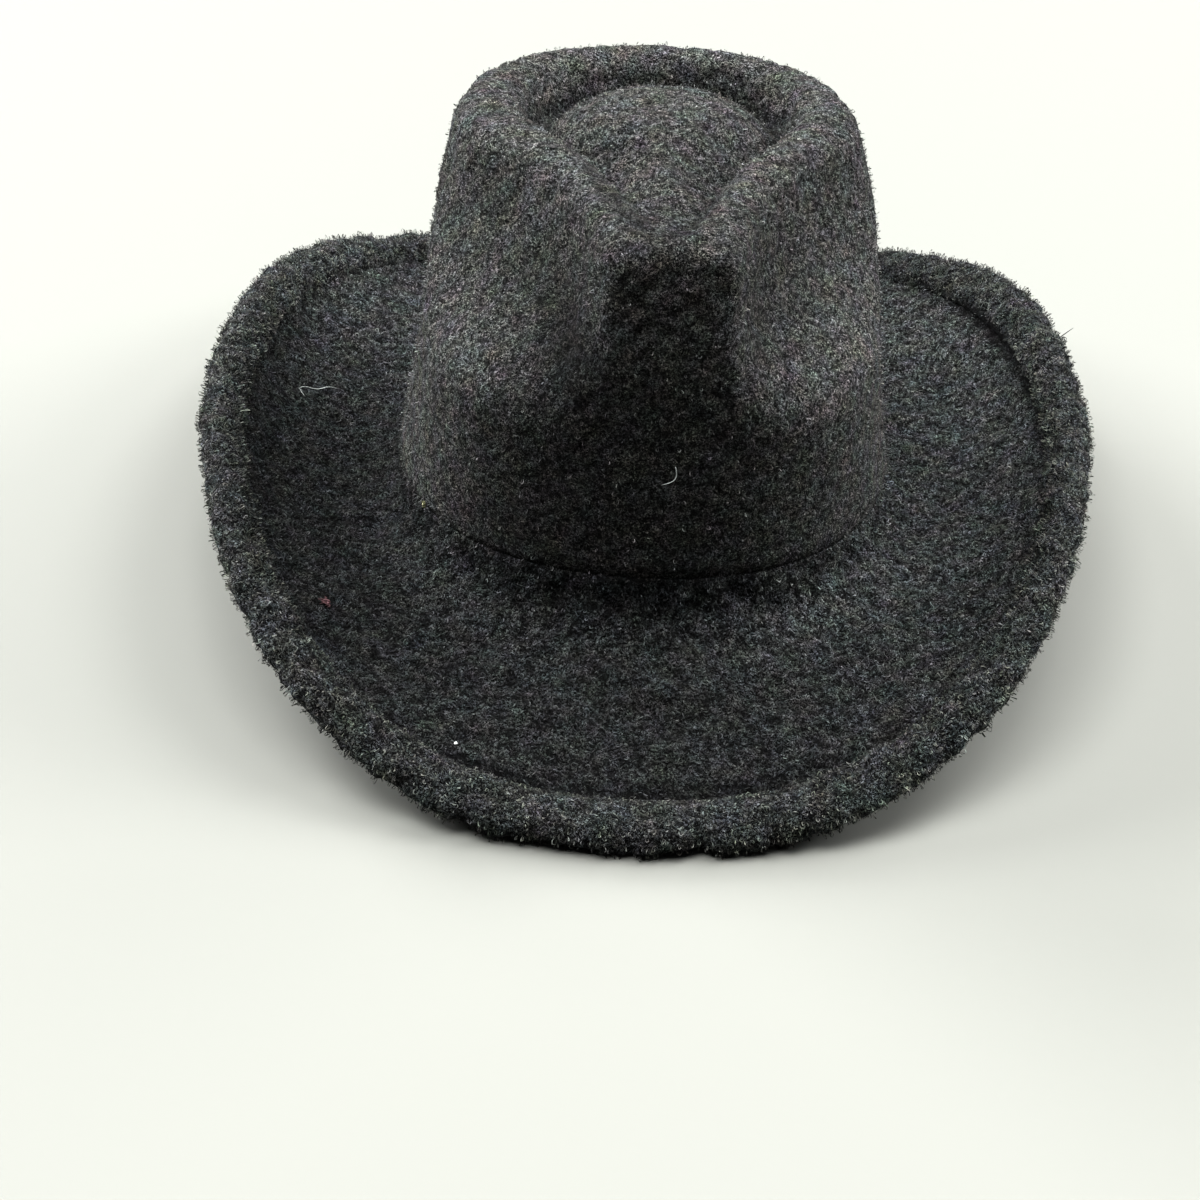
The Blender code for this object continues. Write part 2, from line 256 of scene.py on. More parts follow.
# Painted shade for each mm that the cloth lies under its surroundings and painted highlight for each mm it
# stands over them, their limits, the steps that the surroundings are taken over, and the rings at the seam
# it fades in over.
HOLLOW_PAINTED_SHADE = 0.36
RIDGE_PAINTED_HIGHLIGHT = 0.16
BEND_LIMITS = (-0.5, 0.35)
BEND_STEPS = (1, 2, 3)
BEND_RINGS = 6

# Spots of painted shade on the crown: their direction and height, how wide and tall in degrees and mm,
# and how much they take off.
SHADE_SPOT_COLUMNS = ("angle", "height", "wide", "tall", "depth")
SHADE_SPOT_ROWS = (
    (-17.5, 111, 9, 12, 0.72),
    (-4, 152, 32, 10, 0.32),
    (-2, 141, 11, 8, 0.32),
)
SHADE_SPOT_RADIUS = 60.0

# Creases pressed in between the dome and the two ridges that run to the pinch: the ends of each
# stretch in plan in mm, how strong it is at each end, and its width on the dome's side in mm. They
# lie on top of the crown, over a height, and fade in over another.
CREASE_COLUMNS = ("x", "y", "to_x", "to_y", "start", "end", "wide")
CREASE_ROWS = (
    (-30.0, -6.0, -18.5, -45.0, 0.3, 0.9, 6.0),
    (-18.5, -45.0, -6.0, -72.0, 0.9, 1.0, 6.0),
    (-6.0, -72.0, 2.0, -78.0, 1.0, 0.7, 4.0),
    (24.0, -12.0, 17.0, -40.0, 0.2, 0.8, 6.0),
    (17.0, -40.0, 9.0, -71.0, 0.8, 1.0, 5.0),
    (9.0, -71.0, 2.0, -78.0, 1.0, 0.7, 4.0),
)
CREASE_SIDE = 0.3
CREASE_DEPTH = 1.1
# Painted shade in the creases: how much darker the cloth is painted where a crease is full.
CREASE_PAINTED_SHADE = 0.6
CREASE_HEIGHT = 125.0
CREASE_OVER = 8.0
DOME_FRONT = (0.0, -35.0)

# Curls that cross the seam: how far down the brim they start in mm, how much denser than the rest
# they are, and the stretch in front, by direction and half-width in degrees, where they part and
# how bare it is.
SEAM_START = 1.8
SEAM_CROWD = 4.0
SEAM_PART = (11.0, 17.0)
SEAM_PART_BARE = 0.6

# Rings at which the two halves of the crown's and the brim's pile meet.
CROWN_HALF = CROWN_RINGS // 2 - 18
BRIM_HALF = int(0.56 * BRIM_RINGS)

# Stray fibres on the wool: the surface; the direction in degrees from the front to the right and
# the place along its section, for both ends; how many, and the mm their ends spread; the mm they
# bow and wave; their width, and the mm their two ends stand over the surface; and their colour.
LINT_COLUMNS = ("on", "angle", "along", "to_angle", "to_along", "count", "spread", "bow", "wave", "width",
                "high", "far", "colour")
LINT_ROWS = (
    ("crown", 2.5, 0.118, 4.8, 0.133, 1, 0.0, -2.3, 0.0, 0.36, 1.4, 1.8, "#8f9492"),
    ("brim", 259.2, 56.9, 252.8, 44.1, 1, 0.0, 0.5, 0.7, 0.36, 2.2, 2.2, "#a4a9a6"),
    ("brim", 259.2, 56.9, 259.8, 53.6, 1, 0.0, 0.4, 0.2, 0.32, 2.2, 1.8, "#8d928f"),
    ("brim", 314.2, 58.4, 314.2, 58.4, 26, 1.1, 0.5, 0.3, 0.38, 1.6, 1.6, "#2e0d12"),
    ("brim", 314.2, 58.4, 314.2, 58.4, 3, 0.7, 0.5, 0.2, 0.36, 2.1, 2.1, "#6a4a50"),
    ("brim", 339.5, 70.5, 339.5, 71.6, 1, 0.0, 0.0, 0.0, 1.10, 2.2, 2.2, "#c6cac8"),
    ("crown", 297.6, 0.557, 298.6, 0.557, 18, 0.7, 0.2, 0.2, 0.50, 0.9, 0.9, "#020202"),
    ("crown", 310.0, 0.012, 310.0, 0.012, 12, 0.9, 0.3, 0.3, 0.40, 1.4, 1.4, "#3c3d1c"),
    ("crown", 310.0, 0.012, 310.3, 0.014, 1, 0.0, 0.0, 0.0, 0.60, 1.9, 1.9, "#a5a486"),
    ("brim", 101.4, 92.0, 100.2, 100.5, 1, 0.0, 0.2, 0.0, 0.42, -1.0, -5.5, "#101010"),
)

# Points along a stray fibre and round it, and the small steps along each surface that find its
# direction.
LINT_STEPS = 9
LINT_SIDES = 4
LINT_AHEAD = {"crown": 0.001, "brim": 0.2}

# Curls: faces along one, its least size and what is drawn on top, where its arc is centred as a
# share of its radius, how much it is narrowed, the height, turns and random phase of its wobble
# and the wobble's share in its rise, the stretch of half a sine that it rises by, how deep its ends
# lie in mm, how far it leans, the width of a fibre's ends as a share of its middle's, the least
# tone of a curl, and the tone at a tuft's edge, which is painted shade between the tufts.
CURL_STEPS = 4
CURL_SIZE = (0.8, 0.4)
CURL_CENTRE = 0.4
CURL_NARROW = 0.5
CURL_WOBBLE = (0.18, 9.0, 6.28)
CURL_RIPPLE = 0.25
CURL_ARCH = (0.06, 0.88)
CURL_SINK = 0.25
CURL_LEAN = 0.45
FIBRE_END = 0.35
CURL_LEAST_TONE = 0.1
TUFT_EDGE_PAINTED_SHADE = 0.45

# Painted shade of the pits between the curls: their size in mm and darkest tone, and the range of the
# noise that draws them.
# Casts of the dye: size of the patches in mm, saturation and strength.
CROWN_PIT_SHADE = (1.9, 0.18)
BRIM_PIT_SHADE = (2.9, 0.13)
BINDING_PIT_SHADE = (2.8, 0.15)
PIT_SHADE_RANGE = (0.38, 0.58)
CAST_MM = 8.0
CAST_VIVID = 1.3
CAST_AMOUNT = 0.2

# Fibres drawn on the ground: their spacing in mm on the crown and on the brim; the shift and the
# relative size of the two fields whose contour lines they are; how far off its middle a line starts
# and stops to fade; how much the fields are warped; and the speckle that breaks the lines, with its
# size as a share of the spacing, the range of its noise and its darkest tone.
CROWN_FIBRE = 1.1
BRIM_FIBRE = 1.4
STRAND_FIELDS = ((0.0, 1.0), (0.37, 0.7))
STRAND_FADE = (0.01, 0.06)
STRAND_WARP = 1.2
SPECKLE_SIZE = 0.6
SPECKLE_RANGE = (0.38, 0.62)
SPECKLE_LEAST = 0.05

# Width of a stitch of the knitted back in mm, and how the ground and the back are embossed: strength
# and depth in mm.
KNIT_MM = 1.2
GROUND_BUMP = (0.8, 0.5)
KNIT_BUMP = (0.6, 0.3)

# Roughness of each finish, and the specular level of the wool, which has hardly any gloss.
GROUND_ROUGHNESS = 0.95
CURL_ROUGHNESS = 0.65
BACK_ROUGHNESS = 0.9
LINT_ROUGHNESS = 0.7
PAPER_ROUGHNESS = 0.9
GROUND_GLOSS = 0.05
CURL_GLOSS = 0.12

# What one step of the seed setting adds to the seeds of the piles, which each look's salt sets
# apart, and what the stray fibres add to the setting.
SEED_STEP = 100
LINT_SEED = 900

# Half the floor's side in metres, the sky's strength as light and as seen by the camera, and the
# gamma of the picture.
FLOOR_SIDE = 40.0
SKY_POWER = (0.05, 1.2)
VIEW_GAMMA = 0.85

# Small steps for finding directions on the brim: along it in mm, round it in radians.
STEP_ALONG = 0.01
STEP_ROUND = 0.001

# Soft studio light: name, direction towards it and strength, and the width of all in degrees.
SUNS = (
    ("overhead", (0.0, 0.0, 1.0), 3.4),
    ("high_back", (0.18, 0.18, 0.97), 1.6),
    ("high_left", (-0.36, -0.02, 0.93), 5.0),
    ("high_right", (0.50, 0.30, 0.81), 4.4),
    ("right_window", (0.86, 0.23, 0.45), 5.0),
    ("back_right", (0.63, 0.63, 0.45), 2.4),
    ("back_left", (-0.63, 0.63, 0.45), 7.6),
    ("left_window", (-0.86, 0.23, 0.45), 4.6),
)
SUN_WIDTH_DEG = 24.0

# Camera that took the photograph, in the frame's metres, with its lens and sensor in mm.
CAMERA_PLACE = (-0.01386, -0.59803, 0.44215)
CAMERA_LOOK = (0.00187, 0.77380, -0.63343)
CAMERA_RIGHT = (0.99890, 0.02828, 0.03749)
CAMERA_LENS = 61.5
CAMERA_SENSOR = 36.0
CAMERA_NEAREST = 0.01


def table(rows, columns):
    """The rows of a table as one array for each column name."""
    values = np.array(rows, dtype=float)
    return {name: values[:, index] for index, name in enumerate(columns)}


def named(rows, columns):
    """Each row of a table with its values by name."""
    return [dict(zip(columns, row)) for row in rows]


def wrap(angle, turn=2 * math.pi):
    """The angle less the whole turns that bring it nearest to zero."""
    return np.mod(angle + turn / 2, turn) - turn / 2


def bell(off, width):
    """Bell of the distance off: one in its middle, 1/e at the width."""
    return np.exp(-(off / width) ** 2)


def ease(x):
    """Smooth step of x, held within 0 and 1."""
    u = np.clip(x, 0.0, 1.0)
    return u * u * (3 - 2 * u)


def smooth_lookup(x, xs, ys):
    """Monotone cubic through the rows (xs, ys), flat at both ends, at the places x."""
    h = np.diff(xs)
    slope = np.diff(ys) / h
    m = np.zeros_like(ys)
    both = slope[:-1] * slope[1:] > 0
    safe = np.where(both, slope[:-1] + slope[1:], 1.0)
    m[1:-1] = np.where(both, 2.0 * slope[:-1] * slope[1:] / safe, 0.0)
    i = np.clip(np.searchsorted(xs, x, side="right") - 1, 0, len(h) - 1)
    u = (x - xs[i]) / h[i]
    a = (1 + 2 * u) * (1 - u) ** 2 * ys[i] + u * (1 - u) ** 2 * h[i] * m[i]
    return a + u * u * (3 - 2 * u) * ys[i + 1] + u * u * (u - 1) * h[i] * m[i + 1]


def superoval(t, half_width, half_length, power):
    """Radius of |x/half_width|^power + |y/half_length|^power = 1 in the direction t."""
    across = np.abs(np.sin(t) / half_width) ** power
    along = np.abs(np.cos(t) / half_length) ** power
    return (across + along) ** (-1.0 / power)


def seam_height(t):
    """Height of the seam: a cosine of twice the direction, high at the front and back."""
    return SEAM_HEIGHT + SEAM_WARP * np.cos(2 * t)


def place(t, r, z):
    """Points (m, k, 3) from directions t (m) and radii and heights (m, k)."""
    return np.stack([r * np.sin(t)[:, None], -r * np.cos(t)[:, None], z], axis=-1)


def crown_controls(t):
    """Control points (m, k) of the crown's sections, from the seam up, over and into the dome."""
    rows = table(CROWN_ROWS, CROWN_COLUMNS)
    angle = np.degrees(np.abs(wrap(t - math.radians(PINCH_TURN_DEG))))
    col = {k: smooth_lookup(angle, rows["angle"], v) for k, v in rows.items() if k != "angle"}
    col["inner"] = col["inner"] + BOWL_SHIFT * np.sin(t)
    low = seam_height(t) + GAP / 2
    base = superoval(t, SEAM_HALF_WIDTH, SEAM_HALF_LENGTH, SEAM_POWER)
    body = superoval(t, TOP_HALF_WIDTH, TOP_HALF_LENGTH, TOP_POWER)
    crest = col["inner"] + CREST_SHARE * (col["outer"] - col["inner"])
    share = 0.5 + 0.5 * np.cos(t) * crest / TOP_HALF_LENGTH
    top = TOP_BACK_HEIGHT + (TOP_FRONT_HEIGHT - TOP_BACK_HEIGHT) * share
    shoulder = top - col["drop"]

    def wall(z):
        v = (z - low) / (shoulder - low)
        return base + (body - base) * v - WAIST * np.sin(t) ** 2 * (4 * v * (1 - v)) ** 2

    foot_r = wall(col["foot"])
    edge_r = np.minimum(col["outer"] + SHOULDER_ROOM, wall(shoulder))
    middle_z = 0.5 * (col["foot"] + shoulder)
    middle_r = edge_r + col["scoop"] * (foot_r - edge_r)
    quarter_z = col["foot"] + QUARTER_SHARE * (shoulder - col["foot"])
    quarter_r = middle_r + 0.5 * (1.0 + EVEN_SCOOP - col["scoop"]) * (foot_r - middle_r)
    groove_r = col["inner"] - GROOVE_INSET + DOME_SHIFT * np.sin(t)
    groove_z = top - col["groove"]
    apex = 0.5 * (TOP_FRONT_HEIGHT + TOP_BACK_HEIGHT) - DOME_BELOW_TOP

    def dome(u):
        fall = (groove_z - apex) * u ** col["dome"]
        rise = DOME_BACK_RISE * np.cos(t + math.radians(DOME_TURN_DEG))
        return apex + fall - rise * u * (1 - u ** 4)

    first = low + FIRST_RISE
    half = 0.5 * (low + col["foot"])
    lead = col["foot"] - FOOT_LEAD
    points = (
        (base, low),
        (wall(first), first),
        (wall(half), half),
        (wall(lead), lead),
        (foot_r, col["foot"]),
        (quarter_r, quarter_z),
        (middle_r, middle_z),
        (edge_r, shoulder),
        (col["outer"] - CREST_EASE, top - CREST_SHOULDER),
        (crest, top + CREST_RISE),
        (col["inner"] + CREST_EASE, top - CREST_SHOULDER),
        (groove_r + GROOVE_WALL_OUT, 0.5 * (top + groove_z)),
        (groove_r, groove_z - GROOVE_SINK),
    ) + tuple((share * groove_r, dome(u)) for share, u in DOME_RINGS) + (
        (0.0 * base, apex + 0.0 * base),
    )
    r = np.stack([p[0] for p in points], axis=1)
    z = np.stack([p[1] for p in points], axis=1)
    return r, z


def spline(values, w):
    """Clamped cubic B-spline along axis 1 of values (m, k), at the parameters w in 0..1."""
    first = values[:, :1]
    last = values[:, -1:]
    padded = np.concatenate([2 * first - values[:, 1:2], values, 2 * last - values[:, -2:-1]], axis=1)
    spans = values.shape[1] - 1
    x = np.clip(w, 0.0, 1.0) * spans
    i = np.minimum(x.astype(int), spans - 1)
    u = x - i
    weights = ((1 - u) ** 3, 3 * u ** 3 - 6 * u ** 2 + 4, -3 * u ** 3 + 3 * u ** 2 + 3 * u + 1, u ** 3)
    return sum(padded[:, i + k] * weight for k, weight in enumerate(weights)) / 6.0


def crown_surface(t, w):
    """Outer face of the crown (m, k, 3): a B-spline section in each direction t, from the seam
    (w = 0) up the wall, over the ridge and through the groove to the dome's centre (w = 1)."""
    r, z = crown_controls(t)
    return place(t, spline(r, w), spline(z, w))


def brim_slopes(t):
    """Slope (radians) of the brim at its root and at its edge: a power of the cosine of the
    direction mixes the side's slope with the front's or the back's."""
    near = np.abs(wrap(t, math.pi))
    eased = np.sqrt(near ** 2 + DIP_ROUNDING ** 2) - DIP_ROUNDING
    full = math.sqrt((math.pi / 2) ** 2 + DIP_ROUNDING ** 2) - DIP_ROUNDING
    eased = eased * (math.pi / 2) / full
    end = np.where(np.cos(t) > 0, 1.0, 0.0)
    dip = np.abs(np.cos(eased)) ** (end * SIDE_POWER["front"] + (1 - end) * SIDE_POWER["back"])

    def mix(slope):
        ends = end * slope["front"] + (1 - end) * slope["back"]
        return np.radians(slope["side"] * (1 - dip) + ends * dip)

    return mix(ROOT_SLOPE), mix(EDGE_SLOPE)


def brim_surface(t, s):
    """Upper face of the brim (m, k, 3) at the arc lengths s from the seam: the slope turns from
    straight down to the root's slope over the collar and then runs evenly to the edge's slope,
    and the section is the running sum of its cosine and sine."""
    arc = np.linspace(0.0, BRIM_LENGTH, ARC_SAMPLES + 1)
    root, edge = brim_slopes(t)
    turn = ease(arc / COLLAR_LENGTH)
    start = 0.5 * COLLAR_LENGTH
    run = np.clip((arc - start) / (BRIM_LENGTH - start), 0, 1)
    lie = root[:, None] + (edge - root)[:, None] * run
    slope = -math.pi / 2 + (lie + math.pi / 2) * turn
    step = arc[1] - arc[0]

    def along(f):
        mean = 0.5 * (f[:, 1:] + f[:, :-1]) * step
        total = np.concatenate([np.zeros((len(t), 1)), np.cumsum(mean, axis=1)], axis=1)
        i = np.clip(np.searchsorted(arc, s, side="right") - 1, 0, ARC_SAMPLES - 1)
        u = (s - arc[i]) / step
        return total[:, i] * (1 - u) + total[:, i + 1] * u

    base = superoval(t, SEAM_HALF_WIDTH, SEAM_HALF_LENGTH, SEAM_POWER)
    r = base[:, None] + along(np.cos(slope))
    z = (seam_height(t) - GAP / 2)[:, None] + along(np.sin(slope))
    return place(t, r, z + brim_lift(t)[:, None] * (s / BRIM_LENGTH) ** 2)


def brim_lift(t):
    """Extra height of the brim's edge, where it curls higher on one side of the back: a bell in
    the direction t."""
    return LIFT_HEIGHT * bell(wrap(t - math.radians(LIFT_AT_DEG)), math.radians(LIFT_SPREAD_DEG))


def unit(v):
    """The vectors v at length one."""
    return v / np.maximum(np.linalg.norm(v, axis=-1, keepdims=True), 1e-12)


def dot(a, b):
    """Dot products of the vectors a and b, kept as a last axis of one."""
    return np.sum(a * b, axis=-1, keepdims=True)


def brim_frame(t, s):
    """Points of the brim's upper face with its normals and its outward directions."""
    here = brim_surface(t, s)
    outward = unit(brim_surface(t, s + STEP_ALONG) - brim_surface(t, s - STEP_ALONG))
    around = unit(brim_surface(t + STEP_ROUND, s) - brim_surface(t - STEP_ROUND, s))
    normal = unit(np.cross(outward, around))
    normal = normal * np.sign(normal[..., 2:] + 1e-9)
    across = unit(outward - around * dot(outward, around))
    return here, normal, across


def rim_length():
    """Arc length of the middle of the binding's fold."""
    return BRIM_LENGTH - BINDING_WALL - GAP - 0.5 * BRIM_WALL


def binding_profile(t, leg_rings, edge_rings, lift):
    """Face of the binding (m, k, 3) at the height lift over the brim: a leg over the brim, half a
    circle round its edge, and the same leg back under it."""
    s = np.linspace(BRIM_LENGTH - BINDING_WIDTH, rim_length(), leg_rings + 1)
    here, normal, across = brim_frame(t, s)
    upper = here + normal * lift
    lower = here[:, ::-1] - normal[:, ::-1] * (BRIM_WALL + lift)
    turn = np.linspace(0.0, math.pi, edge_rings + 1)[1:-1][None, :, None]
    middle = here[:, -1:] - normal[:, -1:] * 0.5 * BRIM_WALL
    reach = 0.5 * BRIM_WALL + lift
    bend = middle + reach * (normal[:, -1:] * np.cos(turn) + across[:, -1:] * np.sin(turn))
    return np.concatenate([upper, bend, lower], axis=1)


def tip(points, offset=0.0):
    """Tip the hat so that the front and back of the brim rest together, and move it."""
    tilt = math.radians(REST_TILT_DEG)
    x, y, z = np.moveaxis(points, -1, 0)
    tipped = np.stack([x, y * math.cos(tilt) + z * math.sin(tilt),
                       z * math.cos(tilt) - y * math.sin(tilt)], axis=-1)
    return tipped + offset


def rest_offset():
    """Move that puts the middle of the hat's box over the origin and its foot on the floor."""
    turns, leg_rings, edge_rings = REST_SURVEY
    half = np.linspace(0.0, math.pi, turns)
    points = tip(binding_profile(half, leg_rings, edge_rings, GAP + BINDING_WALL))
    y, z = points[..., 1], points[..., 2]
    return np.array([0.0, -0.5 * (y.min() + y.max()), -z.min() - REST_FLAT])


REST_OFFSET = rest_offset()


def rest(points):
    """The points of the hat as it rests on the floor."""
    return tip(points, REST_OFFSET)


def hashed(cells, seed):
    """Repeatable numbers in 0..1 for whole-number cells (n, 3): the cell's three numbers and the
    seed times large primes, mixed by exclusive or and shifts."""
    c = cells.astype(np.int64)
    h = c[..., 0] * 73856093 ^ c[..., 1] * 19349663 ^ c[..., 2] * 83492791 ^ (seed * 2654435 + 97)
    h = (h ^ (h >> 13)) & 0x7FFFFFFF
    h = (h * 1274126177) & 0x7FFFFFFF
    h = (h ^ (h >> 16)) & 0x7FFFFFFF
    h = (h * 1103515245 + 12345) & 0x7FFFFFFF
    return (h >> 7) / float(0x7FFFFFFF >> 7)


def swell(points, size, seed):
    """Soft random field in 0..1 with bumps of this size: hashed corner values of a cubic lattice,
    mixed by the smooth step of the place within the cell."""
    p = points / size + LATTICE_SHIFT
    cell = np.floor(p)
    f = ease(p - cell)
    total = np.zeros(points.shape[:-1])
    for corner in np.ndindex(2, 2, 2):
        step = np.array(corner)
        weight = np.prod(np.where(step == 1, f, 1 - f), axis=-1)
        total = total + weight * hashed(cell + step, seed)
    return total


def tufts(points, size, seed):
    """Tufts of this size: for each point the distance to the nearest of one random centre in each
    cell of a cubic lattice, as a dome 1 - distance squared, and that tuft's own random number."""
    p = points / size + LATTICE_SHIFT
    cell = np.floor(p)
    near = np.full(points.shape[:-1], 9.0)
    name = np.zeros(points.shape[:-1])
    for corner in np.ndindex(3, 3, 3):
        there = cell + np.array(corner) - 1
        centre = there + np.stack([hashed(there, seed + axis) for axis in (1, 2, 3)], axis=-1)
        distance = np.linalg.norm(p - centre, axis=-1)
        closer = distance < near
        near = np.where(closer, distance, near)
        name = np.where(closer, hashed(there, seed + 4), name)
    return np.clip(1 - (near / TUFT_REACH) ** 2, 0.0, 1.0), name


def tufted(points, of, pile):
    """How far the tufted face of a cloth stands over its smooth one, in mm: the height of its tufts
    over their level, with the soft bumps of its row, times its loft."""
    seed, level, bumps = TUFTS[of]
    height = tufts(points, getattr(pile, of + "_tuft") / MM, seed)[0] - level
    for size, own, share in bumps:
        height = height + share * (swell(points, size, own) - 0.5)
    return getattr(pile, of + "_loft") / MM * height


def steps(grid, axis):
    """Lengths of the steps between neighbours along this axis of a grid of points."""
    return np.linalg.norm(np.diff(grid, axis=axis), axis=-1)


def even(places, lengths, count):
    """Places that split the running sum of lengths into equal steps."""
    total = np.concatenate([[0.0], np.cumsum(lengths)])
    return np.interp(np.linspace(0.0, total[-1], count + 1), total, places)


def even_turns(arcs, count):
    """Directions round the hat, as many as count, that are even along the mean of the brim's rings
    at these arc lengths."""
    t0 = np.linspace(0.0, 2 * math.pi, SURVEY + 1)
    return even(t0, steps(brim_surface(t0, np.array(arcs)), 0).mean(axis=1), count)[:-1]


def normals_of(points, outward):
    """Unit normals of a grid (m, k, 3) that runs right round the hat: the cross product of its
    two central differences, times outward, which is 1 or -1."""
    around = np.roll(points, -1, axis=0) - np.roll(points, 1, axis=0)
    along = np.gradient(points, axis=1)
    normal = np.cross(around, along) * outward
    length = np.linalg.norm(normal, axis=-1, keepdims=True)
    flat = length[..., 0] < 1e-6
    middle = unit(normal[:, -2].mean(axis=0))
    return np.where(flat[..., None], middle, normal / np.maximum(length, 1e-9))


def to_the_floor(points):
    """Points in the rest frame (mm), with those below the floor pressed up to it."""
    return np.concatenate([points[..., :2], np.maximum(points[..., 2:], FLOOR_ROOM)], axis=-1)


def hem_depth(t):
    """Share (m, 1) of the hem's full groove in the directions t."""
    rows = table(HEM_ROWS, HEM_COLUMNS)
    return smooth_lookup(np.degrees(np.mod(t, 2 * math.pi)), rows["angle"], rows["depth"])[:, None]


def seam_depth(t):
    """Share (m, 1) of the seam's full groove: most in front, where the curls part, and hardly any
    elsewhere, by a power of the cosine of the direction."""
    front = np.clip(np.cos(t - math.radians(SEAM_PART[0])), 0.0, 1.0) ** SEAM_FRONT_POWER
    return (SEAM_LEAST + SEAM_FRONT * front)[:, None]


def meet(lift, along, t):
    """The lift of a cloth, eased as a bell of the length along it to the depth at which both
    cloths meet level at the seam."""
    near = bell(along, MEET_BELL)
    return lift * (1 - near) - SEAM_SINK * near * seam_depth(t)


def bend_painted_light(points, normals):
    """Painted shade and highlight by how the cloth bends: how far each point of the grid stands over
    the mean of its neighbours, in mm, paints shade in hollows and highlight on ridges."""
    near = points
    for step in BEND_STEPS:
        near = (near + np.roll(near, step, axis=0) + np.roll(near, -step, axis=0)) / 3.0
        wide = np.pad(near, ((0, 0), (step, step), (0, 0)), mode="edge")
        near = (near + wide[:, 2 * step:] + wide[:, :-2 * step]) / 3.0
    proud = np.sum((points - near) * normals, axis=-1)
    proud[:, :BEND_RINGS] *= np.linspace(0.0, 1.0, BEND_RINGS)
    return 1.0 + np.clip(np.where(proud < 0, HOLLOW_PAINTED_SHADE, RIDGE_PAINTED_HIGHLIGHT) * proud, *BEND_LIMITS)


def painted_light_tone(points, normals, of):
    """Painted light and shade on the brim, crown or binding, at points in the rest frame (mm), by their
    direction round the hat. On the brim painted light rises as a bell towards the seam, on the binding
    with the square of how far the fold turns from level, and on the crown it eases to 1 with height,
    rises again on the wall behind the dome, as that wall turns to the front, and falls as a bell of
    painted shade in each spot of the table."""
    rows = table(PAINTED_LIGHT_ROWS, PAINTED_LIGHT_COLUMNS)
    angle = np.degrees(np.mod(np.arctan2(points[..., 0], -points[..., 1]), 2 * math.pi))
    tone = smooth_lookup(angle, rows["angle"], rows[of])
    if of == "brim":
        seam = superoval(np.radians(angle), SEAM_HALF_WIDTH, SEAM_HALF_LENGTH, SEAM_POWER)
        off = np.hypot(points[..., 0], points[..., 1]) - seam
        gain = smooth_lookup(angle, rows["angle"], rows["seam"])
        return tone * (1.0 + gain * bell(off, SEAM_LIGHT_SPREAD))
    if of == "binding":
        return tone * (1.0 + UPRIGHT_FOLD_PAINTED_LIGHT * (1.0 - np.abs(normals[..., 2])) ** 2)
    low, high = PAINTED_LIGHT_FADE
    height = points[..., 2] + PAINTED_LIGHT_FADE_BACK * np.clip(points[..., 1] / PAINTED_LIGHT_BACK_OVER, 0.0, 1.0)
    tone = tone + (1.0 - tone) * ease((height - low) / (high - low))
    far = np.clip(np.hypot(points[..., 0], points[..., 1]) / SHADE_SPOT_RADIUS, 0.0, 1.0) ** 2
    for spot in named(SHADE_SPOT_ROWS, SHADE_SPOT_COLUMNS):
        off = bell(wrap(angle - spot["angle"], 360.0), spot["wide"])
        up = bell(points[..., 2] - spot["height"], spot["tall"])
        tone = tone * (1.0 - spot["depth"] * far * off * up)
    behind = np.clip(points[..., 1] / BOWL_OVER, 0.0, 1.0) * np.clip(-normals[..., 1], 0.0, 1.0)
    return tone * (1.0 + BOWL_PAINTED_LIGHT * behind * (points[..., 2] > BOWL_HEIGHT))


def crease(points):
    """Share of crease at points on the crown: the largest bell of the distance in plan to each row's
    line, steeper on the ridge's side than on the dome's, and only on top of the crown."""
    plan = points[..., :2]
    share = np.zeros(points.shape[:2])
    for row in named(CREASE_ROWS, CREASE_COLUMNS):
        start = np.array([row["x"], row["y"]])
        way = np.array([row["to_x"], row["to_y"]]) - start
        along = np.clip((plan - start) @ way / (way @ way), 0.0, 1.0)
        off = plan - start - along[..., None] * way
        turn = way[0] * off[..., 1] - way[1] * off[..., 0]
        inside = way[0] * (DOME_FRONT[1] - start[1]) - way[1] * (DOME_FRONT[0] - start[0])
        wide = row["wide"] * np.where(turn * inside > 0, 1.0, CREASE_SIDE)
        strength = row["start"] + (row["end"] - row["start"]) * along
        share = np.maximum(share, strength * np.exp(-np.sum(off * off, axis=-1) / wide ** 2))
    return share * np.clip((points[..., 2] - CREASE_HEIGHT) / CREASE_OVER, 0.0, 1.0)


def crown_cloth(pile):
    """Outer face of the crown with its tufts, its normals, its share of groove and its tone of painted
    light and shade, and the places (t, w) of its grid.

    The smooth surface moves along its normal by the tufts' height, less the creases and a
    bell-shaped groove at the seam."""
    t0 = np.linspace(0.0, 2 * math.pi, SURVEY + 1)
    w0 = np.linspace(0.0, 1.0, ARC_SAMPLES + 1)
    survey = crown_surface(t0, w0)
    t = even(t0, np.sqrt((steps(survey, 0) ** 2).mean(axis=1)), CROWN_TURNS)[:-1]
    w = even(w0, steps(survey, 1).mean(axis=0), CROWN_RINGS)
    points = rest(crown_surface(t, w))
    normal = normals_of(points, 1.0)
    up = np.concatenate([[0.0], np.cumsum(steps(points, 1).mean(axis=0))])
    groove = bell(up, SEAM_BELL)[None, :] * seam_depth(t)
    least, gain, start, over = SHAG
    shag = least + gain * np.clip((points[..., 2] - start) / over, 0.0, 1.0)
    lift = tufted(points, "crown", pile) * shag * (1 - groove) - CROWN_SINK * groove
    pressed = crease(points)
    lift = meet(lift, up, t) - CREASE_DEPTH * pressed
    # Painted light and shade by direction and height and by how the cloth bends, and painted shade in the
    # creases.
    tone = painted_light_tone(points, normal, "crown") * bend_painted_light(points, normal)
    tone = tone * (1.0 - CREASE_PAINTED_SHADE * pressed)
    return (points + normal * lift[..., None], normal, groove * SEAM_BARE, tone), (t, w)


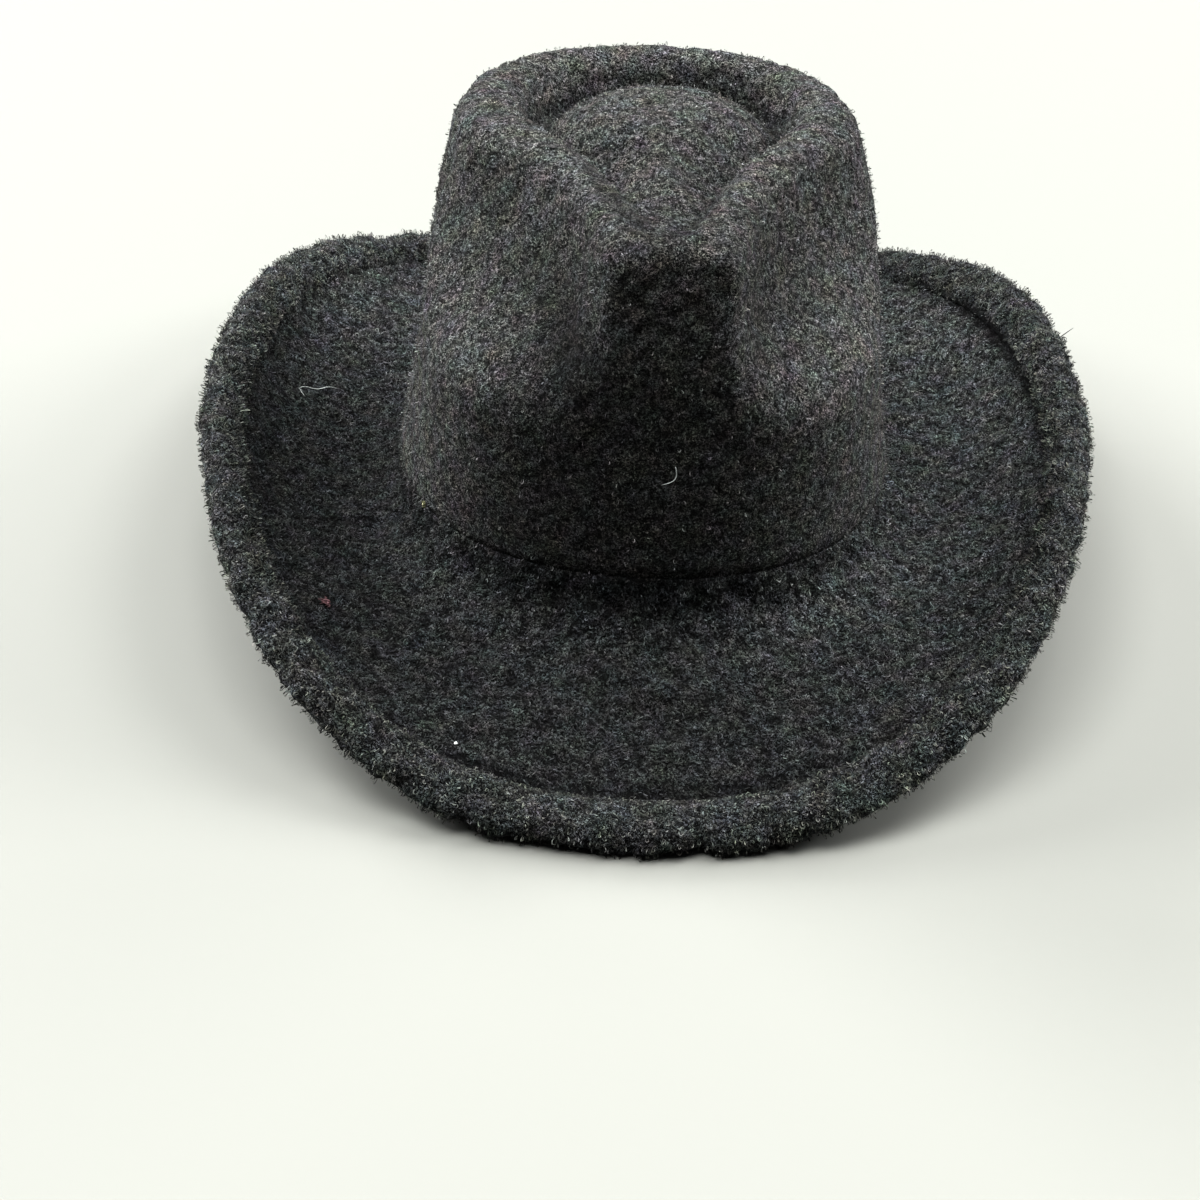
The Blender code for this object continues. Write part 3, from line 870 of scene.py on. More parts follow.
def brim_cloth(pile):
    """Upper and under faces of the brim with their tufts, normals, shares of groove and tones of painted
    light and
    shade: the smooth faces move along their normals by the tufts' height, less a bell-shaped groove at the
    seam and at the hem. The binding covers the last rings."""
    t = even_turns(BRIM_SURVEY, BRIM_TURNS)
    hem = BRIM_LENGTH - BINDING_WIDTH
    strength, middle, width = HEM_GROOVE
    least, gain, size, seed = HEM_UNEVEN
    faces = []
    for rings, down, turned in ((BRIM_RINGS, 0.0, -1.0), (BRIM_UNDER_RINGS, BRIM_WALL, 1.0)):
        arc = np.concatenate([np.linspace(0.0, hem + HEM_TUCK, rings),
                              [hem + HEM_UNDER, rim_length() - FOLD_ROOM]])
        here, normal, _ = brim_frame(t, arc)
        points = rest(here - normal * down)
        outward = normals_of(points, turned)
        hemmed = strength * bell(arc - hem + middle, width) * hem_depth(t)
        hemmed = np.minimum(hemmed * (least + gain * swell(points, size, seed)), 1.0)
        groove = np.maximum(bell(arc, SEAM_BELL) * seam_depth(t), hemmed)
        lift = meet(tufted(points, "brim", pile) * (1 - groove) - BRIM_SINK * groove, arc, t)
        covered = (arc > hem + HEM_COVER)[None, :]
        points = points + outward * np.where(covered, 0.0, lift)[..., None]
        # Painted shade in the hem's groove.
        tone = painted_light_tone(points, outward, "brim") * (1 - HEM_SHADE * hemmed)
        faces.append((points, outward, groove - HEM_PILE * hemmed + covered, tone))
    return faces


def binding_cloth(pile):
    """Outer face of the binding with its tufts, normals, share of roll and tone of painted light and
    shade, and its
    plain inner face: the smooth face moves along its normal by the tufts' height, and rolls down to the
    brim at its two hems."""
    t = even_turns(RIM_SURVEY, BINDING_TURNS)
    points, inner = (rest(binding_profile(t, BINDING_LEG_RINGS, BINDING_EDGE_RINGS, lift))
                     for lift in (GAP + BINDING_WALL, GAP))
    outward = normals_of(points, -1.0)
    leg = (rim_length() - BRIM_LENGTH + BINDING_WIDTH) / BINDING_LEG_RINGS
    ring = np.arange(points.shape[1])
    roll = bell(np.minimum(ring, ring[::-1]) * leg, ROLL_BELL)[None, :]
    depth = hem_depth(t)
    sink, more = ROLL_SINK
    lift = tufted(points, "binding", pile) * (1 - roll) - roll * (sink + more * (1 - depth))
    points = to_the_floor(points + outward * lift[..., None])
    # Painted shade where the binding rolls down to the brim at its hems.
    tone = painted_light_tone(points, outward, "binding") * (1 - HEM_SHADE * roll * depth)
    return (points, outward, (1 - HEM_PILE) * roll * depth, tone), inner


def add_object(data, *materials):
    """An object for a mesh, light or camera, under the same name, in these materials."""
    for material in materials:
        data.materials.append(material)
    item = bpy.data.objects.new(data.name, data)
    bpy.context.scene.collection.objects.link(item)
    return item


def set_tone(mesh, values):
    """Give each point of the mesh its tone, which the wool's materials read: painted light and shade, and
    on the curls their random tone as well.
    """
    attribute = mesh.attributes.new("tone", "FLOAT", "POINT")
    attribute.data.foreach_set("value", values.reshape(-1).astype(np.float32))


def grid_mesh(name, points, shade, materials, second_rings=0, loop=False, poles=False):
    """Mesh of a grid (m, k, 3) that runs right round the hat.

    With loop the sections close on themselves, and run the other way; with poles the first and
    last rings are one point each. The first second_rings rings of faces take the second material.
    shade (m, k) is the painted light and shade of each point: 0 in a groove, painted as shade, up to 1
    and over where light is painted on the pile.
    """
    points = points * MM
    m, k = points.shape[:2]
    index = np.arange(m * k).reshape(m, k)
    if poles:
        for end in (0, -1):
            index[:, end] = index[0, end]
            points[:, end] = points[:, end].mean(axis=0)
    index = np.concatenate([index, index[:1]], axis=0)
    if loop:
        index = np.concatenate([index, index[:, :1]], axis=1)
    quads = np.stack([index[:-1, :-1], index[1:, :-1], index[1:, 1:], index[:-1, 1:]], axis=-1)
    kind = np.tile(np.arange(quads.shape[1]) < second_rings, (m, 1))
    if loop:
        quads = quads[..., ::-1]
    caps = []
    if poles:
        caps = np.concatenate([quads[:, 0], quads[:, -1]]).tolist()
        kind = np.concatenate([kind[:, 1:-1].reshape(-1), kind[:, 0], kind[:, -1]])
        quads = quads[:, 1:-1]
    used = np.unique(index)
    order = np.zeros(m * k, dtype=int)
    order[used] = np.arange(len(used))
    faces = order[quads].reshape(-1, 4).tolist()
    faces += [order[list(dict.fromkeys(cap))].tolist() for cap in caps]
    mesh = bpy.data.meshes.new(name)
    mesh.from_pydata(points.reshape(-1, 3)[used].tolist(), [], faces)
    mesh.polygons.foreach_set("use_smooth", np.ones(len(faces), dtype=bool))
    set_tone(mesh, shade.reshape(-1)[used])
    item = add_object(mesh, *materials)
    mesh.polygons.foreach_set("material_index", kind.reshape(-1).astype(np.int32))
    mesh.update()
    return item


def scatter(points, normal, bare, tone, count, rng):
    """Random places on a grid (m, k, 3) that runs round the hat, as many as count.

    Cells are drawn by area times their share of cloth that isn't bare; the place, normal and tone
    are mixed from the cell's corners. Returns places, normals, directions round the hat (n, 3)
    and tones (n), which hold painted light and shade."""
    ahead = np.roll(points, -1, axis=0)
    around = ahead[:, :-1] - points[:, :-1]
    along = points[:, 1:] - points[:, :-1]
    area = np.linalg.norm(np.cross(around, along), axis=-1)
    share = np.clip(1.0 - bare[:, :-1], 0.0, 1.0 + SEAM_CROWD)
    chance = np.cumsum((area * share).reshape(-1))
    draw = (np.arange(count) + rng.random(count)) / count * chance[-1]
    cell = np.minimum(np.searchsorted(chance, draw), chance.size - 1)
    i, j = np.unravel_index(cell, area.shape)
    u = rng.random(count)[:, None]
    v = rng.random(count)[:, None]
    i2 = (i + 1) % points.shape[0]

    def mixed(grid):
        near = grid[i, j] * (1 - u) + grid[i2, j] * u
        far = grid[i, j + 1] * (1 - u) + grid[i2, j + 1] * u
        return near * (1 - v) + far * v

    return mixed(points), unit(mixed(normal)), unit(around[i, j] + 1e-6), mixed(tone[..., None])[:, 0]


def taper(u):
    """Width along a fibre as a share of its middle's: half a sine over what its ends have."""
    return FIBRE_END + (1.0 - FIBRE_END) * np.sin(math.pi * u)


def curl_mesh(name, cloth, count, look, material, rng):
    """Pile of curled ribbons, scattered over a cloth, as many as count.

    Seen from above, a curl is an arc of a circle of its radius, narrowed one way as it leans out;
    along the normal it rises and falls as half a sine, so both ends are in the cloth. The ribbon
    lies across the path and its width is half a sine too. look holds the least and greatest
    radius, lift, sweep and width; the powers stand and skew that keep most lifts low and most
    tones dark; and tuft, seed and stray, which turn the curls of one tuft much the same way."""
    roots, normals, around, painted_tone = scatter(*cloth, count, rng)
    low, more = CURL_SIZE
    size = (low + more * rng.random(count))[:, None]
    k = CURL_STEPS + 1

    def draw(key, power=1.0):
        low, high = look[key]
        return (low + (high - low) * rng.random(count) ** power)[:, None]

    tuft, tone = tufts(roots, look["tuft"], look["seed"])
    side = np.cross(normals, around)
    turn = (2 * math.pi * (tone + look["stray"] * (rng.random(count) - 0.5)))[:, None]
    first = around * np.cos(turn) + side * np.sin(turn)
    second = np.cross(normals, first) * np.where(rng.random(count) > 0.5, 1.0, -1.0)[:, None]
    u = np.linspace(0.0, 1.0, k)[None, :]
    phi = (0.5 - u) * np.radians(draw("sweep"))
    radius = draw("radius") * size
    lift = draw("lift", look["stand"]) * size
    narrow = 1.0 - CURL_NARROW * rng.random(count)[:, None]
    high, waves, phase = CURL_WOBBLE
    wobble = high * np.sin(u * waves + phase * rng.random(count)[:, None])
    flat_a = radius * (np.cos(phi) - CURL_CENTRE) * narrow
    flat_b = radius * (np.sin(phi) + wobble)
    foot, arch = CURL_ARCH
    rise = lift * (np.sin(math.pi * (foot + arch * u)) + CURL_RIPPLE * wobble) - CURL_SINK
    path = (roots[:, None] + first[:, None] * flat_a[..., None] + second[:, None] * flat_b[..., None]
            + normals[:, None] * rise[..., None])
    tangent = unit(np.gradient(path, axis=1))
    lean = unit(normals + CURL_LEAN * (rng.random((count, 3)) - 0.5))
    across = unit(np.cross(tangent, lean[:, None])) * (0.5 * draw("width") * taper(u))[..., None]
    points = to_the_floor(np.stack([path + across, path - across], axis=2)) * MM
    index = np.arange(count * k * 2).reshape(count, k, 2)
    quads = np.stack([index[:, :-1, 0], index[:, 1:, 0], index[:, 1:, 1], index[:, :-1, 1]], axis=-1)
    shade = CURL_LEAST_TONE + (1.0 - CURL_LEAST_TONE) * rng.random(count) ** look["skew"]
    # Painted shade at the edges of the tufts, times the painted light and shade of the cloth under the
    # curl.
    shade = shade * (TUFT_EDGE_PAINTED_SHADE + (1.0 - TUFT_EDGE_PAINTED_SHADE) * tuft) * painted_tone
    mesh = quad_mesh(name, points.reshape(-1, 3), quads.reshape(-1, 4))
    set_tone(mesh, np.repeat(shade, k * 2))
    return add_object(mesh, material)


def quad_mesh(name, vertices, quads):
    """Smooth mesh of vertices (n, 3) and four-cornered faces (f, 4)."""
    mesh = bpy.data.meshes.new(name)
    mesh.vertices.add(len(vertices))
    mesh.vertices.foreach_set("co", vertices.reshape(-1).astype(np.float32))
    mesh.loops.add(quads.size)
    mesh.loops.foreach_set("vertex_index", quads.reshape(-1).astype(np.int32))
    mesh.polygons.add(len(quads))
    mesh.polygons.foreach_set("loop_start", (np.arange(len(quads)) * 4).astype(np.int32))
    mesh.polygons.foreach_set("use_smooth", np.ones(len(quads), dtype=bool))
    mesh.update(calc_edges=True)
    mesh.validate()
    return mesh


def linear(hex_colour):
    """An sRGB hex colour as linear red, green, blue and alpha."""
    parts = [int(hex_colour[i:i + 2], 16) / 255.0 for i in (1, 3, 5)]
    return tuple(c / 12.92 if c <= 0.04045 else ((c + 0.055) / 1.055) ** 2.4 for c in parts) + (1.0,)


def add_node(tree, kind, settings=None, inputs=None):
    """Add a node, give its properties the settings, and set or link its inputs."""
    node = tree.nodes.new(kind)
    for key, value in (settings or {}).items():
        setattr(node, key, value)
    for key, value in (inputs or {}).items():
        if isinstance(value, bpy.types.NodeSocket):
            tree.links.new(value, node.inputs[key])
        else:
            node.inputs[key].default_value = value
    return node


def new_material(name, colour, roughness):
    """A material with a plain shader of this colour and roughness, and its tree and shader."""
    material = bpy.data.materials.new(name)
    material.use_nodes = True
    tree = material.node_tree
    shader = tree.nodes["Principled BSDF"]
    shader.inputs["Base Color"].default_value = colour
    shader.inputs["Roughness"].default_value = roughness
    material.diffuse_color = colour
    return material, tree, shader


def maths(tree, operation, first, second=0.0):
    """Two values put together by a maths node."""
    return add_node(tree, "ShaderNodeMath", {"operation": operation}, {0: first, 1: second}).outputs[0]


def noise(tree, where, size_mm, detail, roughness, distortion=0.0):
    """The outputs of a soft noise with bumps of this size."""
    return add_node(tree, "ShaderNodeTexNoise", inputs={
        "Vector": where, "Scale": 1.0 / (size_mm * MM), "Detail": detail, "Roughness": roughness,
        "Distortion": distortion}).outputs


def remap(tree, value, low, high, to_low, to_high, kind="SMOOTHSTEP"):
    """The value moved from one range into another, and held within it."""
    return add_node(tree, "ShaderNodeMapRange", {"interpolation_type": kind}, {
        "Value": value, "From Min": low, "From Max": high, "To Min": to_low,
        "To Max": to_high}).outputs["Result"]


def blend(tree, kind, amount, first, second):
    """Two colours mixed by an amount."""
    return add_node(tree, "ShaderNodeMix", {"data_type": "RGBA", "blend_type": kind},
                    {"Factor": amount, "A": first, "B": second}).outputs["Result"]


def pit_shade(tree, where, pit_mm, floor):
    """Painted shade in the pits of the pile: a factor from floor in the pits to 1 on its lumps, a soft
    noise of this size in the hat's own space, so that the curls and the ground under them darken together."""
    lumps = noise(tree, where, pit_mm, detail=3.0, roughness=0.65)["Fac"]
    return remap(tree, lumps, *PIT_SHADE_RANGE, floor, 1.0)


def wool_amount(tree, where, fibre, pit_mm, floor):
    """How pale the wool is: its fibres, with painted shade in the pits, times the tone, which holds
    painted light and shade.
    """
    tone = add_node(tree, "ShaderNodeAttribute", {"attribute_name": "tone"}).outputs["Fac"]
    return maths(tree, "MULTIPLY", maths(tree, "MULTIPLY", fibre, pit_shade(tree, where, pit_mm, floor)), tone)


def dye_wool(tree, shader, where, amount, dark, light):
    """Colour the shader from dark to light by the amount, with faint casts of blue, green, red and
    brown in patches of about 8 mm, as black dye leaves them in wool."""
    casts = noise(tree, where, CAST_MM, detail=3.0, roughness=0.6)["Color"]
    vivid = add_node(tree, "ShaderNodeHueSaturation", inputs={"Color": casts, "Saturation": CAST_VIVID})
    plain = blend(tree, "MIX", amount, dark, light)
    dyed = blend(tree, "OVERLAY", CAST_AMOUNT, plain, vivid.outputs["Color"])
    tree.links.new(dyed, shader.inputs["Base Color"])


def emboss(tree, shader, height, strength, depth_mm):
    """Make a height stand out of the shader's surface."""
    bump = add_node(tree, "ShaderNodeBump", inputs={
        "Height": height, "Strength": strength, "Distance": depth_mm * MM})
    tree.links.new(bump.outputs["Normal"], shader.inputs["Normal"])


def boucle_cloth(name, fibre_mm, pit_mm, floor, dark, light):
    """Boucle wool ground: a knitted ground buried in looped yarn.

    Thin contour lines of two soft fields read as curled fibres fibre_mm apart, lighter than the
    deep gaps between them, broken by a fine speckle, darkened by painted shade in the pits, and stand out
    as bump.
    Real fibres are finer than a pixel, so these are drawn coarser.
    """
    material, tree, shader = new_material(name, dark, GROUND_ROUGHNESS)
    where = add_node(tree, "ShaderNodeTexCoord").outputs["Object"]
    strands = []
    for shift, size in STRAND_FIELDS:
        moved = add_node(tree, "ShaderNodeMapping", inputs={
            "Vector": where, "Location": (shift, shift, shift)}).outputs["Vector"]
        field = noise(tree, moved, size * fibre_mm, 1.0, 0.6, STRAND_WARP)["Fac"]
        off = maths(tree, "ABSOLUTE", maths(tree, "SUBTRACT", field, 0.5))
        strands.append(remap(tree, off, *STRAND_FADE, 1.0, 0.0))
    grain = noise(tree, where, SPECKLE_SIZE * fibre_mm, detail=2.0, roughness=0.7)["Fac"]
    speckle = remap(tree, grain, *SPECKLE_RANGE, SPECKLE_LEAST, 1.0, "LINEAR")
    fibre = maths(tree, "MULTIPLY", maths(tree, "MAXIMUM", *strands), speckle)
    amount = wool_amount(tree, where, fibre, pit_mm, floor)
    dye_wool(tree, shader, where, amount, dark, light)
    emboss(tree, shader, amount, *GROUND_BUMP)
    shader.inputs["Specular IOR Level"].default_value = GROUND_GLOSS
    return material


def wool_curl(name, pit_mm, floor, dark, light):
    """Curled wool fibre, dyed black: matt, some strands paler than others, darkened by painted shade in
    the pits of the pile, with faint casts of blue, green and brown from the dye."""
    material, tree, shader = new_material(name, dark, CURL_ROUGHNESS)
    where = add_node(tree, "ShaderNodeTexCoord").outputs["Object"]
    dye_wool(tree, shader, where, wool_amount(tree, where, 1.0, pit_mm, floor), dark, light)
    shader.inputs["Specular IOR Level"].default_value = CURL_GLOSS
    return material


def wool_back(name, colour):
    """Back of the cloth inside the crown: a dense flat knit, seen as fine even stitches."""
    material, tree, shader = new_material(name, colour, BACK_ROUGHNESS)
    where = add_node(tree, "ShaderNodeTexCoord").outputs["Object"]
    knit = add_node(tree, "ShaderNodeTexVoronoi", inputs={
        "Vector": where, "Scale": 1.0 / (KNIT_MM * MM)})
    emboss(tree, shader, knit.outputs["Distance"], *KNIT_BUMP)
    return material


def a_length(name, description, default, low, high):
    """A length setting, in metres."""
    return bpy.props.FloatProperty(name=name, description=description, default=default, min=low,
                                   max=high, unit="LENGTH", precision=4)


def a_number(name, description, default, low, high):
    """A whole-number setting."""
    return bpy.props.IntProperty(name=name, description=description, default=default, min=low, max=high)


def a_colour(name, description, hex_colour):
    """A colour setting."""
    return bpy.props.FloatVectorProperty(name=name, description=description, subtype="COLOR", size=4,
                                         default=linear(hex_colour), min=0.0, max=1.0)


class HatPile(bpy.types.PropertyGroup):
    """Sizes of the tufts and of the curled pile."""

    crown_tuft: a_length("Crown tuft", "Width of a tuft on the crown", 0.0046, 0.001, 0.02)
    crown_loft: a_length("Crown loft", "Height of the tufts on the crown", 0.0012, 0.0, 0.003)
    brim_tuft: a_length("Brim tuft", "Width of a tuft on the brim", 0.0060, 0.001, 0.02)
    brim_loft: a_length("Brim loft", "Height of the tufts on the brim", 0.0018, 0.0, 0.004)
    binding_tuft: a_length("Binding tuft", "Width of a tuft on the binding", 0.0072, 0.001, 0.02)
    binding_loft: a_length("Binding loft", "Height of the tufts on the binding", 0.0027, 0.0, 0.004)
    crown_curls: a_number("Crown curls", "Curls in each half of the crown's pile", 18000, 100, 24000)
    brim_curls: a_number("Brim curls", "Curls in each ring of the brim's pile", 14000, 100, 24000)
    under_curls: a_number("Underside curls", "Curls under the brim", 7600, 100, 24000)
    binding_curls: a_number("Binding curls", "Curls in each half of the binding's pile", 12500, 100, 16000)
    seed: a_number("Seed", "Changes where the curls grow", 7, 0, 9999)


class HatColours(bpy.types.PropertyGroup):
    """Colours of the wool and of the stage."""

    # Ground: the wool's own black, darkened to near black as painted shade of the deep gaps between the
    # fibres.
    ground: a_colour("Ground", "Deep gaps of the cloth", "#020202")
    fibre: a_colour("Fibre", "Palest fibres of the ground", "#6a6e6e")
    curl_dark: a_colour("Dark curls", "Darkest curls of the pile", "#040404")
    crown_curl: a_colour("Crown curls", "Palest curls on the crown", "#7d7e7c")
    brim_curl: a_colour("Brim curls", "Palest curls on the brim", "#6a6e6e")
    binding_curl: a_colour("Binding curls", "Palest curls on the binding", "#6b6e68")
    back: a_colour("Back", "Back of the cloth, inside the crown", "#1b1b1d")
    floor: a_colour("Floor", "Floor of the stage", "#5f605c")


CROWN_CURL = {
    "radius": (0.26, 0.62), "lift": (0.2, 1.7), "stand": 4.0, "sweep": (150, 320), "width": (0.24, 0.40),
    "tuft": 4.6, "seed": 11, "stray": 2.0, "skew": 2.2, "salt": 1,
    "count": "crown_curls", "wool": "matted crown wool", "slot": "crown_boucle",
}
BRIM_CURL = {
    "radius": (0.32, 0.76), "lift": (0.4, 1.9), "stand": 1.0, "sweep": (150, 330), "width": (0.28, 0.44),
    "tuft": 6.0, "seed": 31, "stray": 1.4, "skew": 3.0, "salt": 3,
    "count": "brim_curls", "wool": "shaggy brim wool", "slot": "brim_boucle",
}
BINDING_CURL = {
    "radius": (0.30, 0.70), "lift": (0.4, 2.3), "stand": 1.3, "sweep": (150, 340), "width": (0.26, 0.42),
    "tuft": 7.2, "seed": 51, "stray": 1.2, "skew": 1.8, "salt": 6,
    "count": "binding_curls", "wool": "loose binding wool", "slot": "binding_boucle",
}
UNDER_CURL = dict(BRIM_CURL, count="under_curls", salt=5)


def wool_of(colours):
    """The wool materials by name, made once."""
    have = bpy.data.materials
    if "matted crown ground" not in have:
        boucle_cloth("matted crown ground", CROWN_FIBRE, *CROWN_PIT_SHADE, colours.ground, colours.crown_curl)
        boucle_cloth("shaggy brim ground", BRIM_FIBRE, *BRIM_PIT_SHADE, colours.ground, colours.fibre)
        wool_back("knitted wool back", colours.back)
        wool_curl("matted crown wool", *CROWN_PIT_SHADE, colours.curl_dark, colours.crown_curl)
        wool_curl("shaggy brim wool", *BRIM_PIT_SHADE, colours.curl_dark, colours.brim_curl)
        wool_curl("loose binding wool", *BINDING_PIT_SHADE, colours.curl_dark, colours.binding_curl)
    return have


def pile_on(name, cloth, look, context, half=0):
    """Scatter curls of one look over a cloth, and make them ride with the hat. The salt of the look
    and the half give each piece random numbers of its own."""
    pile = context.scene.hat_pile
    rng = np.random.default_rng(pile.seed * SEED_STEP + look["salt"] + half)
    wool = wool_of(context.scene.hat_colours)[look["wool"]]
    item = curl_mesh(name, cloth, getattr(pile, look["count"]), look, wool, rng)
    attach(item, "root")


def pile_halves(names, cloth, middle, look, context):
    """Pile in two pieces that meet at a ring of the cloth, each with its own random numbers."""
    for half, rings in enumerate((slice(0, middle + 1), slice(middle, None))):
        pile_on(names[half], [grid[:, rings] for grid in cloth], look, context, half)


class HAT_OT_crown_cloth(bpy.types.Operator):
    """Cloth of the crown: its tufted outer face, its plain back and the edge between them"""

    bl_idname = "hat.crown_cloth"
    bl_label = "Crown cloth"

    def execute(self, context):
        wool = wool_of(context.scene.hat_colours)
        (outer, _, groove, tone), (t, w) = crown_cloth(context.scene.hat_pile)
        smooth = rest(crown_surface(t, w))
        rings = np.linspace(len(w) - 1, 0, CROWN_BACK_RINGS).round().astype(int)
        inner = (smooth - normals_of(smooth, 1.0) * CROWN_WALL)[:, rings]
        points = np.concatenate([inner, outer], axis=1)
        # Painted shade in the seam's groove, times the painted light and shade of the tone; the plain back
        # takes none.
        shade = np.concatenate([np.ones(inner.shape[:2]), (1.0 - groove) * tone], axis=1)
        faced = (wool["matted crown ground"], wool["knitted wool back"])
        item = grid_mesh("crown_cloth", points, shade, faced, CROWN_BACK_RINGS, poles=True)
        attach(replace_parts(item, "crown"), "root")
        return {"FINISHED"}


class HAT_OT_crown_pile(bpy.types.Operator):
    """Short matted curls over the outside of the crown"""

    bl_idname = "hat.crown_pile"
    bl_label = "Crown pile"

    def execute(self, context):
        cloth, (t, _) = crown_cloth(context.scene.hat_pile)
        middle, width = np.radians(SEAM_PART)
        part = np.exp(-(wrap(t - middle) / width) ** 4)[:, None]
        start = (rest(brim_surface(t, np.array([SEAM_START]))), cloth[1][:, :1],
                 SEAM_CROWD * (part - 1.0) + SEAM_PART_BARE * part, cloth[3][:, :1])
        cloth = [np.concatenate(pair, axis=1) for pair in zip(start, cloth)]
        pile_halves(("crown_wall_pile", "crown_top_pile"), cloth, CROWN_HALF, CROWN_CURL, context)
        return {"FINISHED"}


class HAT_OT_brim_cloth(bpy.types.Operator):
    """Cloth of the brim: one closed shell of its upper and under faces"""

    bl_idname = "hat.brim_cloth"
    bl_label = "Brim cloth"

    def execute(self, context):
        ground = wool_of(context.scene.hat_colours)["shaggy brim ground"]
        upper, under = brim_cloth(context.scene.hat_pile)
        points, _, groove, tone = (np.concatenate([above, below[:, ::-1]], axis=1)
                                   for above, below in zip(upper, under))
        # Painted shade in the grooves at the seam and the hem, times the painted light and shade of the
        # tone.
        shade = np.clip(1.0 - groove, 0.0, 1.0) * tone
        item = grid_mesh("brim_cloth", points, shade, (ground,), loop=True)
        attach(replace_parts(item, "brim"), "root")
        return {"FINISHED"}


class HAT_OT_brim_pile(bpy.types.Operator):
    """Shaggy curls over the top of the brim, and a thinner pile under it"""

    bl_idname = "hat.brim_pile"
    bl_label = "Brim pile"

    def execute(self, context):
        upper, under = brim_cloth(context.scene.hat_pile)
        pile_halves(("brim_inner_pile", "brim_outer_pile"), upper, BRIM_HALF, BRIM_CURL, context)
        pile_on("brim_under_pile", under, UNDER_CURL, context)
        return {"FINISHED"}


class HAT_OT_binding_cloth(bpy.types.Operator):
    """Cloth of the binding, folded over the brim's edge"""

    bl_idname = "hat.binding_cloth"
    bl_label = "Binding cloth"

    def execute(self, context):
        ground = wool_of(context.scene.hat_colours)["shaggy brim ground"]
        (outer, _, roll, tone), inner = binding_cloth(context.scene.hat_pile)
        inner = inner[:, ::-BINDING_INNER_STEP]
        points = np.concatenate([outer, inner], axis=1)
        # Painted shade where the binding rolls down at its hems, times the painted light and shade of the
        # tone.
        shade = np.concatenate([(1.0 - roll) * tone, np.ones(inner.shape[:2])], axis=1)
        item = grid_mesh("binding_cloth", points, shade, (ground,), loop=True)
        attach(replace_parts(item, "edge_binding"), "root")
        return {"FINISHED"}


class HAT_OT_binding_pile(bpy.types.Operator):
    """Long loose curls over the binding, which give the brim its shaggy outline"""

    bl_idname = "hat.binding_pile"
    bl_label = "Binding pile"

    def execute(self, context):
        cloth = binding_cloth(context.scene.hat_pile)[0]
        half = cloth[0].shape[1] // 2
        pile_halves(("binding_top_pile", "binding_under_pile"), cloth, half, BINDING_CURL, context)
        return {"FINISHED"}


def lint_strands(row, rng):
    """Paths (n, steps, 3), widths (steps) and normals of one row of stray fibres, in mm: each runs
    over the surface between its two ends, moved sideways by half a sine as its bow and one and a
    half turns of a sine as its wave, and its ends are moved at random by the row's spread."""
    u = np.linspace(0.0, 1.0, LINT_STEPS)
    angle = np.radians(row["angle"] + (row["to_angle"] - row["angle"]) * u)
    along = row["along"] + (row["to_along"] - row["along"]) * u
    surface = crown_surface if row["on"] == "crown" else brim_surface

    def on_surface(angle, along):
        return rest(surface(angle, along))[np.arange(LINT_STEPS), np.arange(LINT_STEPS)]

    line = on_surface(angle, along)
    north = unit(on_surface(angle, along + LINT_AHEAD[row["on"]]) - line)
    east = unit(on_surface(angle + STEP_ROUND, along) - line)
    up = unit(np.cross(east, north))
    up = up * np.sign(up[:, 2:] + 1e-6)
    ends = row["spread"] * rng.normal(size=(2, row["count"], 1, 2))
    drift = ends[0] * (1 - u)[None, :, None] + ends[1] * u[None, :, None]
    side = unit(np.cross(up, unit(line[-1] - line[0] + 1e-6 * east[0])))
    sway = row["bow"] * np.sin(math.pi * u) + row["wave"] * np.sin(3 * math.pi * u)
    high = row["high"] + (row["far"] - row["high"]) * u
    path = (line[None] + drift[..., :1] * east + drift[..., 1:] * north
            + (side * sway[:, None] + up * high[:, None])[None])
    return path, row["width"] * taper(u), up


class HAT_OT_lint(bpy.types.Operator):
    """Stray fibres, specks and a pulled thread that lie on the wool"""

    bl_idname = "hat.lint"
    bl_label = "Stray fibres"

    def execute(self, context):
        rng = np.random.default_rng(context.scene.hat_pile.seed + LINT_SEED)
        turn = np.linspace(0.0, 2 * math.pi, LINT_SIDES + 1)[:-1, None]
        points = []
        colours = []
        for row in named(LINT_ROWS, LINT_COLUMNS):
            path, thick, up = lint_strands(row, rng)
            ahead = unit(np.gradient(path, axis=1))
            side = unit(np.cross(ahead, up))
            ring = side[:, :, None] * np.cos(turn) + np.cross(side, ahead)[:, :, None] * np.sin(turn)
            points.append((path[:, :, None] + 0.5 * thick[:, None, None] * ring).reshape(-1, 3))
            colours += [linear(row["colour"])] * row["count"] * LINT_STEPS * LINT_SIDES
        points = np.concatenate(points)
        index = np.arange(len(points)).reshape(-1, LINT_STEPS, LINT_SIDES)
        following = np.roll(index, -1, axis=2)
        quads = np.stack([index[:, :-1], following[:, :-1], following[:, 1:], index[:, 1:]], axis=-1)
        quads = np.concatenate([quads.reshape(-1, 4), index[:, 0, ::-1], index[:, -1]])
        mesh = quad_mesh("lint", points * MM, quads)
        attribute = mesh.attributes.new("dye", "FLOAT_COLOR", "POINT")
        attribute.data.foreach_set("color", np.array(colours, dtype=np.float32).reshape(-1))
        # Loose fibres show as thin threads, each in its row's own colour.
        material, tree, shader = new_material("stray lint fibres", linear("#8f9492"), LINT_ROUGHNESS)
        dye = add_node(tree, "ShaderNodeAttribute", {"attribute_name": "dye"})
        tree.links.new(dye.outputs["Color"], shader.inputs["Base Color"])
        item = add_object(mesh, material)
        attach(item, "root")
        return {"FINISHED"}


def aim(item, right, back, place):
    """Turn a light or camera so that right is its own right and it looks away from back."""
    up = np.cross(back, right)
    item.matrix_world = Matrix([[right[i], up[i], back[i], place[i]] for i in range(3)] + [[0, 0, 0, 1]])


